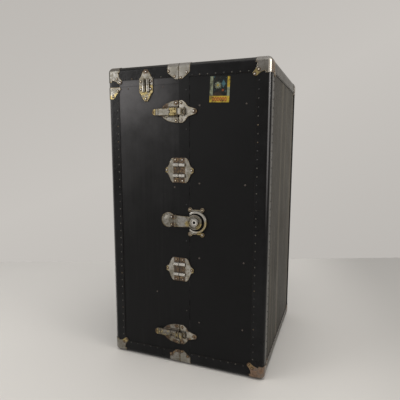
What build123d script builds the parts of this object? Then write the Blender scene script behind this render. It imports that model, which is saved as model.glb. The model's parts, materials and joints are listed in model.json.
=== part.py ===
"""Open-top wardrobe steamer trunk, standing closed on its corner caps.

Two halves meet at an upright seam and swing on three hinges at the back. The left half is the hanging
side and has a lid of its own, the right half holds a chest of drawers. Millimetres, +Z up, +Y to the back,
origin under the middle of the trunk, on the floor.
"""

import math
import os

from build123d import *

# ---- driving sizes -------------------------------------------------------------------------------------
WIDTH = 558.8
DEPTH = 558.8
HEIGHT = 1016.0
SEAM_X = -15.0
SEAM_GAP = 0.6
LID_HEIGHT = 65.3
LID_GAP = 0.6

STEEL_T = 1.2
BINDING_T = 1.6
BOARD_T = 8.0
LINING_T = 0.8
EDGE_R = 16.0
BINDING_W = 45.0
STRIP_W = 34.5

CAP_REACH = 49.5
CAP_EAR = 55.0
CAP_EAR_BLUNT = 0.7
CAP_WAIST = 44.0
CAP_WAIST_AT = 22.5
CAP_NECK = 43.5
CLAMP_W = 38.0
CLAMP_CORNER_R = 4.0
CLAMP_REACH = 52.0
CLAMP_CHIN = 0.3
CLAMP_SLANT = 0.6
RIM_CLAMP_H = 38.5
RIM_CLAMP_W = 53.0
RIM_CLAMP_FOOT = 25.0

PLATE_T = 2.0
RUNNING = 0.05
LIFT_OFF = 0.4

HINGE_L = 76.0
HINGE_W = 38.0
HINGE_T = 1.5
HINGE_FROM_FOOT = 150.0
HINGE_BELOW_LID = 84.7
KNUCKLE_R = 4.0
KNUCKLES = 5
KNUCKLE_GAP = 0.3
PIN_R = 2.0
PIN_HEAD_R = 3.2
PIN_HEAD_T = 1.2
LID_HINGE_L = 60.0
LID_HINGE_W = 18.5
LID_HINGE_Y = 150.0

DOWEL_SHARES = (0.338, 0.6663)
DOWEL_X = 1.0
DOWEL_SPAN = 99.0
DOWEL_ALONG = 81.0
DOWEL_FLAT = 48.0
DOWEL_CORNER_R = 3.0
DOWEL_EAR = 6.0
DOWEL_NECK = 13.0
DOWEL_NECK_AT = 10.0
DOWEL_SHOULDER = 6.5
PLATE_BEVEL = 0.6
RECESS_DEPTH = 1.2
RECESS_HALF = 20.0
RECESS_STUD_R = 2.6
RECESS_STUD_AT = 8.0
BARREL_R = 5.5
BARREL_L = 41.0
BARREL_AT = 17.5
PEG_R = 2.2
PEG_L = 9.0
PEG_PLAY = 0.6
LID_DOWEL_X = -131.5
LID_DOWEL_SPAN = 101.0
LID_DOWEL_ALONG = 50.0
LID_DOWEL_FLAT = 44.0
LID_BARREL_AT = 8.0

BOLT_FROM_FOOT = 110.0
BOLT_BELOW_LID = 86.7
BASE_REACH = 65.0
BASE_HALF = 35.0
BASE_BEVEL = 0.8
CATCH_REACH = 62.0
CATCH_EAR_R = 9.0
CATCH_STEPS = ((0.0, 0.0), (12.0, 0.0), (21.0, 7.0), (30.0, 19.0))
LEVER_TIP = 92.0
LEVER_HALF = 10.5
LEVER_T = 4.0
FINGER_L = 37.0
TIP_RISE = 1.5
TIP_ROUND = 1.2
PIVOT_X = -5.0
PIVOT_R = 3.4
PIVOT_PIN_R = 1.6
BLOCK_X = (-34.0, -10.0)
BLOCK_HALF = 12.5
BLOCK_H = 10.4
BLOCK_ROUND = 2.0
LINK_PIVOT_X = -22.0
LINK_PIN_R = 1.2
LINK_EYE_R = 2.6
LINK_NECK_HALF = 4.7
LINK_BLOCK_X = (-7.0, 11.0)
LOOP_END = 24.0
LOOP_BAR = 2.5
TOOTH_PLAY = 1.5
TOOTH_H = 4.4
LUG_T = 3.0
RAIL_GAP = 0.7
RAIL_W = 3.0
RAIL_H = 3.0
RAIL_L = 50.0

LOCK_ABOVE_MIDDLE = 1.0
HASP_DISC_X = 56.0
HASP_DISC_R = 25.0
HASP_RIM_W = 4.0
HASP_RIM_H = 2.0
HASP_RIM_ROUND = 1.8
HASP_ARM_HALF = 19.0
HASP_T = 3.2
HASP_PIVOT_X = -14.0
HASP_KNUCKLE_R = 4.5
HASP_PIN_R = 1.8
HASP_PLATE_X = -40.0
HASP_PLATE_R = 25.0
HASP_PLATE_T = 2.4
HASP_PLATE_UP = 2.0
HASP_DOME_R = 17.0
HASP_DOME_H = 3.0
KNUCKLE_CLEAR = 0.8
COLLAR_R = 13.0
COLLAR_H = 6.0
CYLINDER_R = 9.0
KEYHOLE_R = 4.4
KEY_WARD = 6.0
KEYHOLE_DEPTH = 5.0
KEY_POST_R = 1.3
KEEPER_X = 60.0
KEEPER_BORE_R = 30.0
KEEPER_WALL = 7.0
KEEPER_H = 8.0
KEEPER_ROUND = 3.0
KEEPER_EAR_R = 7.0
KEEPER_EARS = (21.0, 41.0)

TONGUE_OUT = 8.0
TONGUE_IN = 30.0
TONGUE_T = 6.0
TONGUE_PLAY = 0.8

CHEST_SIDE_T = 9.0
SHELF_T = 6.0
DRAWER_SHARES = (0.2461, 0.2165, 0.187, 0.1673)
DRAWER_SETBACK = 23.0
DRAWER_FRONT_T = 12.0
DRAWER_BOARD_T = 6.0
DRAWER_FLOOR_T = 4.0
DRAWER_PLAY = 1.2
DRAWER_LIFT = 0.5
FRONT_REVEAL = 1.5
KNOB_R = 9.0
KNOB_NECK_R = 4.0
KNOB_OUT = 16.0
KNOB_Y = 130.0

RAIL_R = 4.0
RAIL_Y = 60.0
RAIL_BELOW_LID = 15.7
RAIL_END = 45.0
RAIL_TIE_T = 5.0
RAIL_PLATE_T = 3.0
RAIL_PLATE_H = 44.0
SLEEVE_R = 7.0
SLEEVE_L = 20.0
CROSSBAR_T = 12.0
TUBE_R = 6.0
TUBE_DROP = 23.0
TUBE_L = 74.0
HANGERS = 5
HANGER_PITCH = 12.0
HANGER_T = 8.0
HANGER_HALF = 215.0
HANGER_DROP = 75.0
HANGER_BAND = 22.0
HOOK_R = 1.6
HOOK_SHANK = 36.0

# ---- worked out from them ------------------------------------------------------------------------------
BINDING_IN = STEEL_T
BOARD_IN = STEEL_T + BINDING_T
CAVITY_IN = BOARD_IN + BOARD_T
LINED_IN = CAVITY_IN + LINING_T
FACE = DEPTH / 2 - BOARD_IN
SIDE_FACE = WIDTH / 2 - BOARD_IN
LEFT_EDGE = SEAM_X - SEAM_GAP / 2
RIGHT_EDGE = SEAM_X + SEAM_GAP / 2
LID_Z = HEIGHT - LID_HEIGHT
HINGE_HEIGHTS = (HINGE_FROM_FOOT, HEIGHT / 2, LID_Z - HINGE_BELOW_LID)
BOLT_HEIGHTS = (BOLT_FROM_FOOT, LID_Z - BOLT_BELOW_LID)
DOWEL_HEIGHTS = tuple(share * HEIGHT for share in DOWEL_SHARES)
LOCK_HEIGHT = HEIGHT / 2 + LOCK_ABOVE_MIDDLE
DRAWER_HEIGHTS = tuple(share * HEIGHT for share in DRAWER_SHARES)
LID_FOOT = LID_Z + LID_GAP / 2
BASE_TOP = LID_Z - LID_GAP / 2
PLATE_TOP = BINDING_T + PLATE_T
BARREL_AXIS = PLATE_TOP + 1.3
HINGE_AXIS = BINDING_T + KNUCKLE_R + 0.2
LID_HINGE_AXIS = KNUCKLE_R + 0.2
LEVER_FOOT = PLATE_TOP + LIFT_OFF
PIVOT_Z = LEVER_FOOT + PIVOT_R
BLOCK_TOP = LEVER_FOOT + BLOCK_H
LINK_PIVOT_Z = BLOCK_TOP - 3.0
HASP_AXIS = HASP_KNUCKLE_R + 0.3
HASP_FOOT = PLATE_TOP + 1.0
HASP_TOP = HASP_FOOT + HASP_T
CHEST_X = RIGHT_EDGE + DRAWER_SETBACK + DRAWER_FRONT_T + 1.0
CHEST_BACK = WIDTH / 2 - LINED_IN
CHEST_Y = DEPTH / 2 - LINED_IN
RAIL_Z = LID_Z - RAIL_BELOW_LID
TUBE_Z = RAIL_Z - TUBE_DROP
FAR = 2 * HEIGHT
# Turns what is drawn flat to face +X: its X becomes Y, its Y becomes Z. Turned twice, it faces +Y.
TO_SIDE = Rot(0, 0, 90) * Rot(90, 0, 0)


# ---- helpers -------------------------------------------------------------------------------------------
def block(x, y, z):
    """A block between a low and a high limit on each axis."""
    middle = Pos((x[0] + x[1]) / 2, (y[0] + y[1]) / 2, (z[0] + z[1]) / 2)
    return middle * Box(x[1] - x[0], y[1] - y[0], z[1] - z[0])


def outer_block(inset, radius):
    """The closed trunk's rounded outline, set in from the outside of its steel caps."""
    x, y = WIDTH / 2 - inset, DEPTH / 2 - inset
    body = block((-x, x), (-y, y), (inset, HEIGHT - inset))
    return fillet(body.edges(), radius)


def prism(points, low, high):
    """An outline of straight sides, raised from a low to a high level."""
    outline = make_face(Polyline(*points, close=True))
    return Pos(0, 0, low) * extrude(outline, high - low)


def disc(radius, low, high, x=0.0, y=0.0):
    """A round plate between two levels."""
    return Pos(x, y, (low + high) / 2) * Cylinder(radius, high - low)


def bevel_top(piece, width):
    """Bevels the edges of a piece's highest face."""
    return chamfer(piece.faces().sort_by(Axis.Z)[-1].edges(), width)


def round_top(piece, radius):
    """Rounds the edges of a piece's highest face."""
    return fillet(piece.faces().sort_by(Axis.Z)[-1].edges(), radius)


def rod(radius, x, y, z):
    """A round bar along the one axis that is given as a pair of limits."""
    ends = [v if isinstance(v, tuple) else (v, v) for v in (x, y, z)]
    middle = Pos(*[(low + high) / 2 for low, high in ends])
    length = max(high - low for low, high in ends)
    turn = Rot(0, 90, 0) if isinstance(x, tuple) else Rot(90, 0, 0) if isinstance(y, tuple) else Rot(0, 0, 0)
    return middle * turn * Cylinder(radius, length)


def on_front(piece, x, z):
    """Moves a fitting drawn flat, face up, on to the front boards."""
    return Pos(x, -FACE, z) * Rot(90, 0, 0) * piece


def on_back(piece, x, z):
    """Moves a fitting drawn flat on to the back boards."""
    return Pos(x, FACE, z) * Rot(0, 0, 180) * Rot(90, 0, 0) * piece


def on_left(piece, y, z):
    """Moves a fitting drawn flat on to the left side board, its X pointing up."""
    return Pos(-SIDE_FACE, y, z) * Rot(0, 0, -90) * Rot(90, 0, 0) * Rot(0, 0, 90) * piece


def solids_of(pieces):
    """The separate solids of a list of pieces."""
    found = []
    for piece in pieces:
        found += list(piece.solids())
    return found


def save(node, *pieces):
    """Writes one sub-part, with each of its pieces as a separate solid."""
    found = solids_of(pieces)
    shape = found[0] if len(found) == 1 else Compound(children=found)
    shape.label = node
    export_step(shape, f"parts/{node}.step")


# ---- boards, binding and lining --------------------------------------------------------------------------
def right_region(shape, x=RIGHT_EDGE):
    """What of a shape lies in the right half."""
    return shape & block((x, FAR), (-FAR, FAR), (-FAR, FAR))


def left_region(shape):
    """What of a shape lies in the left half, under its lid."""
    return shape & block((-FAR, LEFT_EDGE), (-FAR, FAR), (-FAR, BASE_TOP))


def lid_region(shape):
    """What of a shape lies in the lid."""
    return shape & block((-FAR, LEFT_EDGE), (-FAR, FAR), (LID_FOOT, FAR))


def board_sets():
    """The five outer walls of the closed trunk, butted at their corners, keyed by the wall's name."""
    x, y = WIDTH / 2 - CAVITY_IN, DEPTH / 2 - CAVITY_IN
    low, high = CAVITY_IN, HEIGHT - CAVITY_IN
    shell = outer_block(BOARD_IN, EDGE_R - BINDING_T) - block((-x, x), (-y, y), (low, high))
    walls = {
        "top": block((-FAR, FAR), (-FAR, FAR), (high, FAR)),
        "bottom": block((-FAR, FAR), (-FAR, FAR), (-FAR, low)),
        "right": block((x, FAR), (-FAR, FAR), (low, high)),
        "left": block((-FAR, -x), (-FAR, FAR), (low, high)),
        "front": block((-x, x), (-FAR, -y), (low, high)),
        "back": block((-x, x), (y, FAR), (low, high)),
    }
    return {name: shell & wall for name, wall in walls.items()}


def binding_sets():
    """Fibre binding bent over every outer edge, and the flat strip along the right half's seam."""
    skin = outer_block(BINDING_IN, EDGE_R) - outer_block(BOARD_IN, EDGE_R - BINDING_T)
    x, y = WIDTH / 2 - BINDING_W, DEPTH / 2 - BINDING_W
    z = (BINDING_W, HEIGHT - BINDING_W)
    strip_end = RIGHT_EDGE + STRIP_W
    band = right_region(skin) & block((-FAR, strip_end), (-FAR, FAR), (-FAR, FAR))
    right = right_region(skin, strip_end)
    right -= block((strip_end - 1, x), (-FAR, FAR), z)
    right -= block((strip_end - 1, x), (-y, y), (-FAR, FAR))
    right -= block((0, FAR), (-y, y), z)
    left = skin - block((-x, FAR), (-FAR, FAR), z)
    left -= block((-x, FAR), (-y, y), (-FAR, FAR))
    left -= block((-FAR, 0), (-y, y), z)
    return band, right, left_region(left), lid_region(left)


def lining_sets():
    """Paper lining on the inside of each half and of the lid."""
    x, y = WIDTH / 2 - CAVITY_IN, DEPTH / 2 - CAVITY_IN
    cavity = block((-x, x), (-y, y), (CAVITY_IN, HEIGHT - CAVITY_IN))
    x, y = x - LINING_T, y - LINING_T
    lining = cavity - block((-x, x), (-y, y), (LINED_IN, HEIGHT - LINED_IN))
    return right_region(lining, RIGHT_EDGE + TONGUE_IN), left_region(lining), lid_region(lining)


def rim_tongue():
    """Four rebated battens round the right half's mouth, whose lip enters the left half."""
    lip = LINING_T + TONGUE_PLAY
    profile = [
        (RIGHT_EDGE - TONGUE_OUT, lip),
        (RIGHT_EDGE, lip),
        (RIGHT_EDGE, 0),
        (RIGHT_EDGE + TONGUE_IN, 0),
        (RIGHT_EDGE + TONGUE_IN, TONGUE_T),
        (RIGHT_EDGE - TONGUE_OUT + 2, TONGUE_T),
        (RIGHT_EDGE - TONGUE_OUT, TONGUE_T - 2),
    ]
    y, z = DEPTH / 2 - CAVITY_IN, (CAVITY_IN, HEIGHT - CAVITY_IN)
    wide, tall = 2 * (y - TONGUE_T), z[1] - z[0] - 2 * lip
    upright = Pos(0, -y, z[0] + lip) * prism(profile, 0, tall)
    flat = Pos(0, y - TONGUE_T, z[0]) * Rot(90, 0, 0) * prism(profile, 0, wide)
    return [
        upright,
        mirror(upright, Plane.XZ),
        flat,
        mirror(flat, Plane.XY.offset(HEIGHT / 2)),
    ]


# ---- steel caps and clamps ---------------------------------------------------------------------------------
def steel_skin():
    """The outermost layer, from which caps and clamps are cut."""
    return outer_block(0, EDGE_R + STEEL_T) - outer_block(BINDING_IN, EDGE_R)


def ear_outline():
    """One face of a corner cap, from the corner: waisted sides and a round ear on the diagonal."""
    reach, ear, waist, low, neck = CAP_REACH, CAP_EAR, CAP_WAIST, CAP_WAIST_AT, CAP_NECK
    blunt = ear - CAP_EAR_BLUNT
    return make_face(
        [
            Line((0, 0), (reach, 0)),
            ThreePointArc((reach, 0), (waist, low), (ear, neck)),
            ThreePointArc((ear, neck), (blunt, blunt), (neck, ear)),
            ThreePointArc((neck, ear), (low, waist), (0, reach)),
            Line((0, reach), (0, 0)),
        ]
    )


def corner_cap(skin):
    """The cap on the corner at the low end of X and Y and the foot of the trunk."""
    foot = extrude(ear_outline(), EDGE_R + 2 * STEEL_T)
    side = TO_SIDE * foot
    front = TO_SIDE * side
    return skin & Pos(-WIDTH / 2, -DEPTH / 2, 0) * (foot + side + front)


def seam_clamp(skin):
    """The clamp beside the seam on the right half's top front edge."""
    low, mid = RIGHT_EDGE, RIGHT_EDGE + CLAMP_W
    chin, slant = RIGHT_EDGE + CLAMP_W * CLAMP_CHIN, CLAMP_REACH * CLAMP_SLANT
    outline = [(low, 0), (mid, 0), (mid, -slant), (chin, -CLAMP_REACH), (low, -CLAMP_REACH)]
    flap = make_face(Polyline(*outline, close=True))
    flap = fillet([corner for corner in flap.vertices() if corner.Y < -1], CLAMP_CORNER_R)
    depth = EDGE_R + 2 * STEEL_T
    front = Pos(0, -DEPTH / 2 + depth, HEIGHT) * Rot(90, 0, 0) * extrude(flap, depth, dir=(0, 0, 1))
    top = Pos(0, -DEPTH / 2, HEIGHT - depth) * extrude(mirror(flap, Plane.XZ), depth, dir=(0, 0, 1))
    return skin & (front + top)


def rim_clamp(skin):
    """The clamp round the left half's front edge, just under the lid."""
    foot, wide, low, blunt = RIM_CLAMP_FOOT, RIM_CLAMP_W, -RIM_CLAMP_H, CLAMP_CORNER_R
    nose = [(0, 0), (wide - blunt, 0), (wide, -1.5 * blunt)]
    outline = nose + [(foot + 0.75 * blunt, low + blunt), (foot, low), (0, low)]
    depth = EDGE_R + 2 * STEEL_T
    corner = Pos(-WIDTH / 2, -DEPTH / 2, BASE_TOP)
    front = corner * Pos(0, depth, 0) * Rot(90, 0, 0) * prism(outline, 0, depth)
    side = corner * TO_SIDE * prism(outline, 0, depth)
    return skin & (front + side)


# ---- hinges ------------------------------------------------------------------------------------------------
def hinge_leaf(side, length, width, foot, top, axis):
    """A leaf and its knuckles. side is 1 or -1, across X; the pin runs along Y at the height of axis."""
    pitch = length / KNUCKLES
    clear = KNUCKLE_R + 0.6
    edge = sorted((side * clear, side * width))
    leaf = block(edge, (-length / 2, length / 2), (foot, top))
    leaf = fillet(leaf.edges().filter_by(Axis.Z).sort_by(Axis.X)[:: side][-2:], 5)
    first = 0 if side > 0 else 1
    for n in range(first, KNUCKLES, 2):
        low = -length / 2 + n * pitch + KNUCKLE_GAP / 2
        high = low + pitch - KNUCKLE_GAP
        arm = sorted((side * 0.3, side * (clear + 1)))
        leaf += block(arm, (low, high), (foot, top))
        leaf += rod(KNUCKLE_R, 0, (low, high), axis)
    return leaf - rod(PIN_R + RUNNING, 0, (-length, length), axis)


def hinge_pin(length, axis):
    """A pin with a flat head at each end."""
    half = length / 2
    pin = rod(PIN_R, 0, (-half, half), axis)
    pin += rod(PIN_HEAD_R, 0, (half, half + PIN_HEAD_T), axis)
    return pin + rod(PIN_HEAD_R, 0, (-half - PIN_HEAD_T, -half), axis)


# ---- dowels ------------------------------------------------------------------------------------------------
def dowel_outline(span, along, flat):
    """A hexagon drawn across the seam, with a blunt ear at each end."""
    tip, shoulder = span / 2, flat / 2 + DOWEL_SHOULDER
    quarter = [(tip, DOWEL_EAR), (tip - DOWEL_NECK_AT, DOWEL_NECK)]
    quarter += [(shoulder, along / 2 - DOWEL_SHOULDER), (flat / 2, along / 2)]
    right = [(x, -y) for x, y in reversed(quarter)] + quarter
    return right + [(-x, y) for x, y in reversed(right)]


def dowel_pair(span, along, flat, barrel_at, seam, centre, feet):
    """The pegged plate on the low side of the seam and the socket plate on its high side, at local X."""
    whole = make_face(Polyline(*dowel_outline(span, along, flat), close=True))
    whole = Pos(centre, 0, 0) * fillet(whole.vertices(), DOWEL_CORNER_R)
    recess = barrel_at - BARREL_R - 2
    ends = (centre - BARREL_L / 2, centre + BARREL_L / 2)
    pair = []
    for side, foot in zip((-1, 1), feet):
        plate = Pos(0, 0, foot) * extrude(whole, PLATE_TOP - foot)
        plate = bevel_top(plate, PLATE_BEVEL)
        if recess > RECESS_STUD_R:
            hollow = (PLATE_TOP - RECESS_DEPTH, FAR)
            plate -= block((centre - RECESS_HALF, centre + RECESS_HALF), (-recess, recess), hollow)
            stud = centre + side * RECESS_STUD_AT
            plate += disc(RECESS_STUD_R, hollow[0] - 0.4, PLATE_TOP, stud)
        for y in (-barrel_at, barrel_at):
            plate += rod(BARREL_R, ends, y, BARREL_AXIS) & block((-FAR, FAR), (-FAR, FAR), (foot, FAR))
        cut = (seam / 2, FAR) if side > 0 else (-FAR, -seam / 2)
        plate &= block(cut, (-FAR, FAR), (-FAR, FAR))
        for y in (-barrel_at, barrel_at):
            if side < 0:
                plate += rod(PEG_R, (-seam / 2 - 1, PEG_L), y, BARREL_AXIS)
            else:
                plate -= rod(PEG_R + PEG_PLAY, (0, PEG_L + 1), y, BARREL_AXIS)
        pair.append(plate)
    return pair


# ---- draw bolts --------------------------------------------------------------------------------------------
# Drawn flat: X across the seam from its middle, Y along it, Z out of the front board.
def draw_base():
    """The winged plate on the left half, with the two lugs that carry the lever."""
    edge = -SEAM_GAP / 2 - 1
    wing = scale(Circle(1), (BASE_REACH + edge, BASE_HALF, 1))
    wing = Pos(edge, 0, 0) * wing & Pos(edge - BASE_REACH / 2, 0, 0) * Rectangle(BASE_REACH, 3 * BASE_HALF)
    base = extrude(wing, PLATE_TOP)
    base = bevel_top(base, BASE_BEVEL)
    for y in (-1, 1):
        kerb = sorted((y * (BLOCK_HALF + RAIL_GAP), y * (BLOCK_HALF + RAIL_GAP + RAIL_W)))
        kerb = block((edge - RAIL_L, edge), kerb, (PLATE_TOP / 2, PLATE_TOP + RAIL_H))
        base += bevel_top(kerb, BASE_BEVEL)
        ends = sorted((y * (LEVER_HALF + 0.5), y * (LEVER_HALF + 0.5 + LUG_T)))
        lug = rod(PIVOT_R + 0.6, PIVOT_X, tuple(ends), PIVOT_Z)
        reach = (PIVOT_X - PIVOT_R - 0.6, PIVOT_X + PIVOT_R - 0.2)
        base += lug & block((-FAR, edge), (-FAR, FAR), (0, FAR))
        base += block(reach, ends, (PLATE_TOP / 2, PIVOT_Z)) & block((-FAR, edge), (-FAR, FAR), (0, FAR))
    return base - rod(PIVOT_PIN_R + RUNNING, PIVOT_X, (-FAR, FAR), PIVOT_Z)


def draw_pin():
    """The pin through the lugs and the lever."""
    half = LEVER_HALF + 0.5 + LUG_T
    return rod(PIVOT_PIN_R, PIVOT_X, (-half, half), PIVOT_Z)


def draw_lever():
    """The over-centre lever: finger tip, plate, slotted block and the two arms that reach its pivot."""
    foot, top = LEVER_FOOT, LEVER_FOOT + LEVER_T
    finger = BLOCK_X[0] - FINGER_L
    plate = block((finger, BLOCK_X[0] + 1), (-LEVER_HALF, LEVER_HALF), (foot, top))
    tip = Pos(-LEVER_TIP + LEVER_HALF, 0, foot) * extrude(Circle(LEVER_HALF), LEVER_T + TIP_RISE)
    tip += block((-LEVER_TIP + LEVER_HALF, finger), (-LEVER_HALF, LEVER_HALF), (foot, top + TIP_RISE))
    tip = round_top(tip, TIP_ROUND)
    cheeks = block(BLOCK_X, (-BLOCK_HALF, BLOCK_HALF), (foot, BLOCK_TOP))
    cheeks = round_top(cheeks, BLOCK_ROUND)
    slot = LINK_NECK_HALF + 0.3
    cheeks -= block((-FAR, FAR), (-slot, slot), (LINK_PIVOT_Z - LINK_EYE_R - 0.4, FAR))
    arms = block((BLOCK_X[1] - 1, PIVOT_X), (-LEVER_HALF, LEVER_HALF), (foot, PIVOT_Z + PIVOT_R - 2.0))
    arms += rod(PIVOT_R, PIVOT_X, (-LEVER_HALF, LEVER_HALF), PIVOT_Z)
    arms -= block((BLOCK_X[1], FAR), (-slot, slot), (-FAR, FAR))
    lever = plate + tip + cheeks + arms
    lever += rod(LINK_PIN_R, LINK_PIVOT_X, (-slot - 1, slot + 1), LINK_PIVOT_Z)
    return lever - rod(PIVOT_PIN_R + RUNNING, PIVOT_X, (-FAR, FAR), PIVOT_Z)


def draw_link():
    """The link: an eye on the lever's pin, a neck, a block and the loop that goes round the tooth."""
    neck_t = 1.5
    low = PIVOT_Z + PIVOT_R + LIFT_OFF
    link = rod(LINK_EYE_R, LINK_PIVOT_X, (-LINK_NECK_HALF, LINK_NECK_HALF), LINK_PIVOT_Z)
    neck = (LINK_PIVOT_Z - neck_t, LINK_PIVOT_Z + neck_t)
    link += block((LINK_PIVOT_X, LINK_BLOCK_X[0] + 1), (-LINK_NECK_HALF, LINK_NECK_HALF), neck)
    head = block(LINK_BLOCK_X, (-LEVER_HALF, LEVER_HALF), (low, LINK_PIVOT_Z + 2.4))
    head = round_top(head, BLOCK_ROUND / 2)
    loop_low = PLATE_TOP + 1.8
    loop = block((LINK_BLOCK_X[1] - 1, LOOP_END), (-LEVER_HALF, LEVER_HALF), (loop_low, loop_low + 5.0))
    loop = fillet(loop.edges().filter_by(Axis.Z).sort_by(Axis.X)[-2:], 3.0)
    hole_half = LEVER_HALF - LOOP_BAR
    loop -= block((LINK_BLOCK_X[1] + LOOP_BAR, LOOP_END - LOOP_BAR), (-hole_half, hole_half), (-FAR, FAR))
    head = head + loop
    return link + head - rod(LINK_PIN_R + RUNNING, LINK_PIVOT_X, (-FAR, FAR), LINK_PIVOT_Z)


def draw_catch():
    """The crown-shaped plate on the right half, with the tooth that the loop goes over."""
    edge, ear = SEAM_GAP / 2 + 1, CATCH_REACH - CATCH_EAR_R
    steps = [(edge + along, BASE_HALF - down) for along, down in CATCH_STEPS]
    side = steps + [(ear, CATCH_EAR_R)]
    crown = make_face(Polyline(*side, *[(x, -y) for x, y in reversed(side)], close=True))
    crown = crown + Pos(ear, 0, 0) * Circle(CATCH_EAR_R)
    plate = Pos(0, 0, BINDING_T) * extrude(crown, PLATE_T)
    plate = bevel_top(plate, PLATE_BEVEL)
    across = (LINK_BLOCK_X[1] + LOOP_BAR + TOOTH_PLAY, LOOP_END - LOOP_BAR - TOOTH_PLAY)
    along = LEVER_HALF - LOOP_BAR - TOOTH_PLAY
    tooth = block(across, (-along, along), (PLATE_TOP - 1, PLATE_TOP + TOOTH_H))
    tooth = bevel_top(tooth, BASE_BEVEL)
    return plate + tooth


# ---- lock --------------------------------------------------------------------------------------------------
def knuckle_ends(part):
    """The limits along the pin of the hasp's own knuckle, or of the two beside it on its plate."""
    half, inner = HASP_ARM_HALF, HASP_ARM_HALF * 0.5
    if part == "hasp":
        return [(-inner + KNUCKLE_GAP, inner - KNUCKLE_GAP)]
    return [(-half, -inner), (inner, half)]


def hasp_plate():
    """The round plate on the left half that carries the hasp's pin."""
    thick, rise = HASP_PLATE_T, HASP_DOME_H
    plate = disc(HASP_PLATE_R, 0, thick, HASP_PLATE_X, HASP_PLATE_UP)
    ball = (HASP_DOME_R**2 + rise**2) / (2 * rise)
    dome = Pos(HASP_PLATE_X, HASP_PLATE_UP, thick + rise - ball) * Sphere(ball)
    plate += dome & block((-FAR, FAR), (-FAR, FAR), (thick / 4, FAR))
    edge = HASP_PIVOT_X - HASP_KNUCKLE_R - KNUCKLE_CLEAR
    plate += block((HASP_PLATE_X + HASP_DOME_R / 2, edge), (-HASP_ARM_HALF, HASP_ARM_HALF), (0, thick))
    plate &= block((-FAR, edge), (-FAR, FAR), (-FAR, FAR))
    for ends in knuckle_ends("plate"):
        plate += block((edge - 1, HASP_PIVOT_X), ends, (thick / 8, thick))
        plate += rod(HASP_KNUCKLE_R, HASP_PIVOT_X, ends, HASP_AXIS)
    return plate - rod(HASP_PIN_R + RUNNING, HASP_PIVOT_X, (-FAR, FAR), HASP_AXIS)


def hasp_pin():
    """The headed pin through the hasp's knuckles."""
    half = HASP_ARM_HALF
    pin = rod(HASP_PIN_R, HASP_PIVOT_X, (-half, half), HASP_AXIS)
    for low in (-half - PIN_HEAD_T, half):
        pin += rod(HASP_PIN_R + 0.9, HASP_PIVOT_X, (low, low + PIN_HEAD_T), HASP_AXIS)
    return pin


def hasp():
    """The swinging arm, its lock disc and the collar round the key cylinder."""
    half, start = HASP_ARM_HALF, HASP_PIVOT_X + HASP_KNUCKLE_R + KNUCKLE_CLEAR
    neck = HASP_DISC_X - 0.75 * HASP_DISC_R
    outline = [(start, -half), (neck, -half + 2), (neck, half - 2), (start, half)]
    arm = prism(outline, HASP_FOOT, HASP_TOP)
    for ends in knuckle_ends("hasp"):
        arm += block((HASP_PIVOT_X, start + 1), ends, (HASP_FOOT, HASP_TOP))
        arm += rod(HASP_KNUCKLE_R, HASP_PIVOT_X, ends, HASP_AXIS)
    plate = disc(HASP_DISC_R, HASP_FOOT, HASP_TOP + HASP_RIM_H, HASP_DISC_X)
    plate = round_top(plate, HASP_RIM_ROUND)
    plate -= disc(HASP_DISC_R - HASP_RIM_W, HASP_TOP, FAR, HASP_DISC_X)
    standing = (Align.CENTER, Align.CENTER, Align.MIN)
    collar = Cone(COLLAR_R + 4, COLLAR_R, HASP_T + COLLAR_H, align=standing)
    arm += plate + Pos(HASP_DISC_X, 0, HASP_FOOT) * collar
    arm -= disc(CYLINDER_R + RUNNING, 0, FAR, HASP_DISC_X)
    return arm - rod(HASP_PIN_R + RUNNING, HASP_PIVOT_X, (-FAR, FAR), HASP_AXIS)


def lock_cylinder():
    """The turning plug, bored for a barrel key and with the post that the key goes over."""
    top = HASP_TOP + COLLAR_H - 0.8
    plug = disc(CYLINDER_R, HASP_FOOT, top, HASP_DISC_X)
    plug = bevel_top(plug, PLATE_BEVEL)
    plug -= disc(KEYHOLE_R, top - KEYHOLE_DEPTH, FAR, HASP_DISC_X)
    plug -= block((HASP_DISC_X - 1, HASP_DISC_X + 1), (-KEY_WARD, 0), (top - KEYHOLE_DEPTH, FAR))
    return plug + disc(KEY_POST_R, top - KEYHOLE_DEPTH - 0.5, top - 0.5 * KEYHOLE_DEPTH, HASP_DISC_X)


def lock_keeper():
    """The C-shaped ring on the right half that the lock disc drops into, with its four ears."""
    outer = KEEPER_BORE_R + KEEPER_WALL
    ring = disc(outer, 0, KEEPER_H, KEEPER_X)
    ring = round_top(ring, KEEPER_ROUND)
    ear_x, ear_y = KEEPER_EARS
    for y in (-ear_y, ear_y):
        for x in (-ear_x, ear_x):
            ring += disc(KEEPER_EAR_R, 0, PLATE_TOP, KEEPER_X + x, y)
        bar = sorted((y, y - math.copysign(KEEPER_EAR_R + 4, y)))
        ring += block((KEEPER_X - ear_x + 3, KEEPER_X + ear_x - 3), bar, (0, PLATE_TOP))
    ring -= disc(KEEPER_BORE_R, -1, FAR, KEEPER_X)
    mouth = KEEPER_X - ear_x
    ring -= block((-FAR, mouth), (-ear_y + KEEPER_EAR_R, ear_y - KEEPER_EAR_R), (-1, FAR))
    return ring - block((-FAR, STRIP_W + SEAM_GAP / 2), (-FAR, FAR), (-1, BINDING_T))


# ---- chest and drawers -------------------------------------------------------------------------------------
def shelf_levels():
    """The underside of each shelf, from the lowest."""
    levels = [LINED_IN]
    for height in DRAWER_HEIGHTS:
        levels.append(levels[-1] + SHELF_T + height)
    return levels


def chest_sides():
    """The two upright sides of the chest."""
    top = shelf_levels()[-1] + SHELF_T
    side = block((CHEST_X, CHEST_BACK), (-CHEST_Y, -CHEST_Y + CHEST_SIDE_T), (LINED_IN, top))
    return [side, mirror(side, Plane.XZ)]


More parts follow.
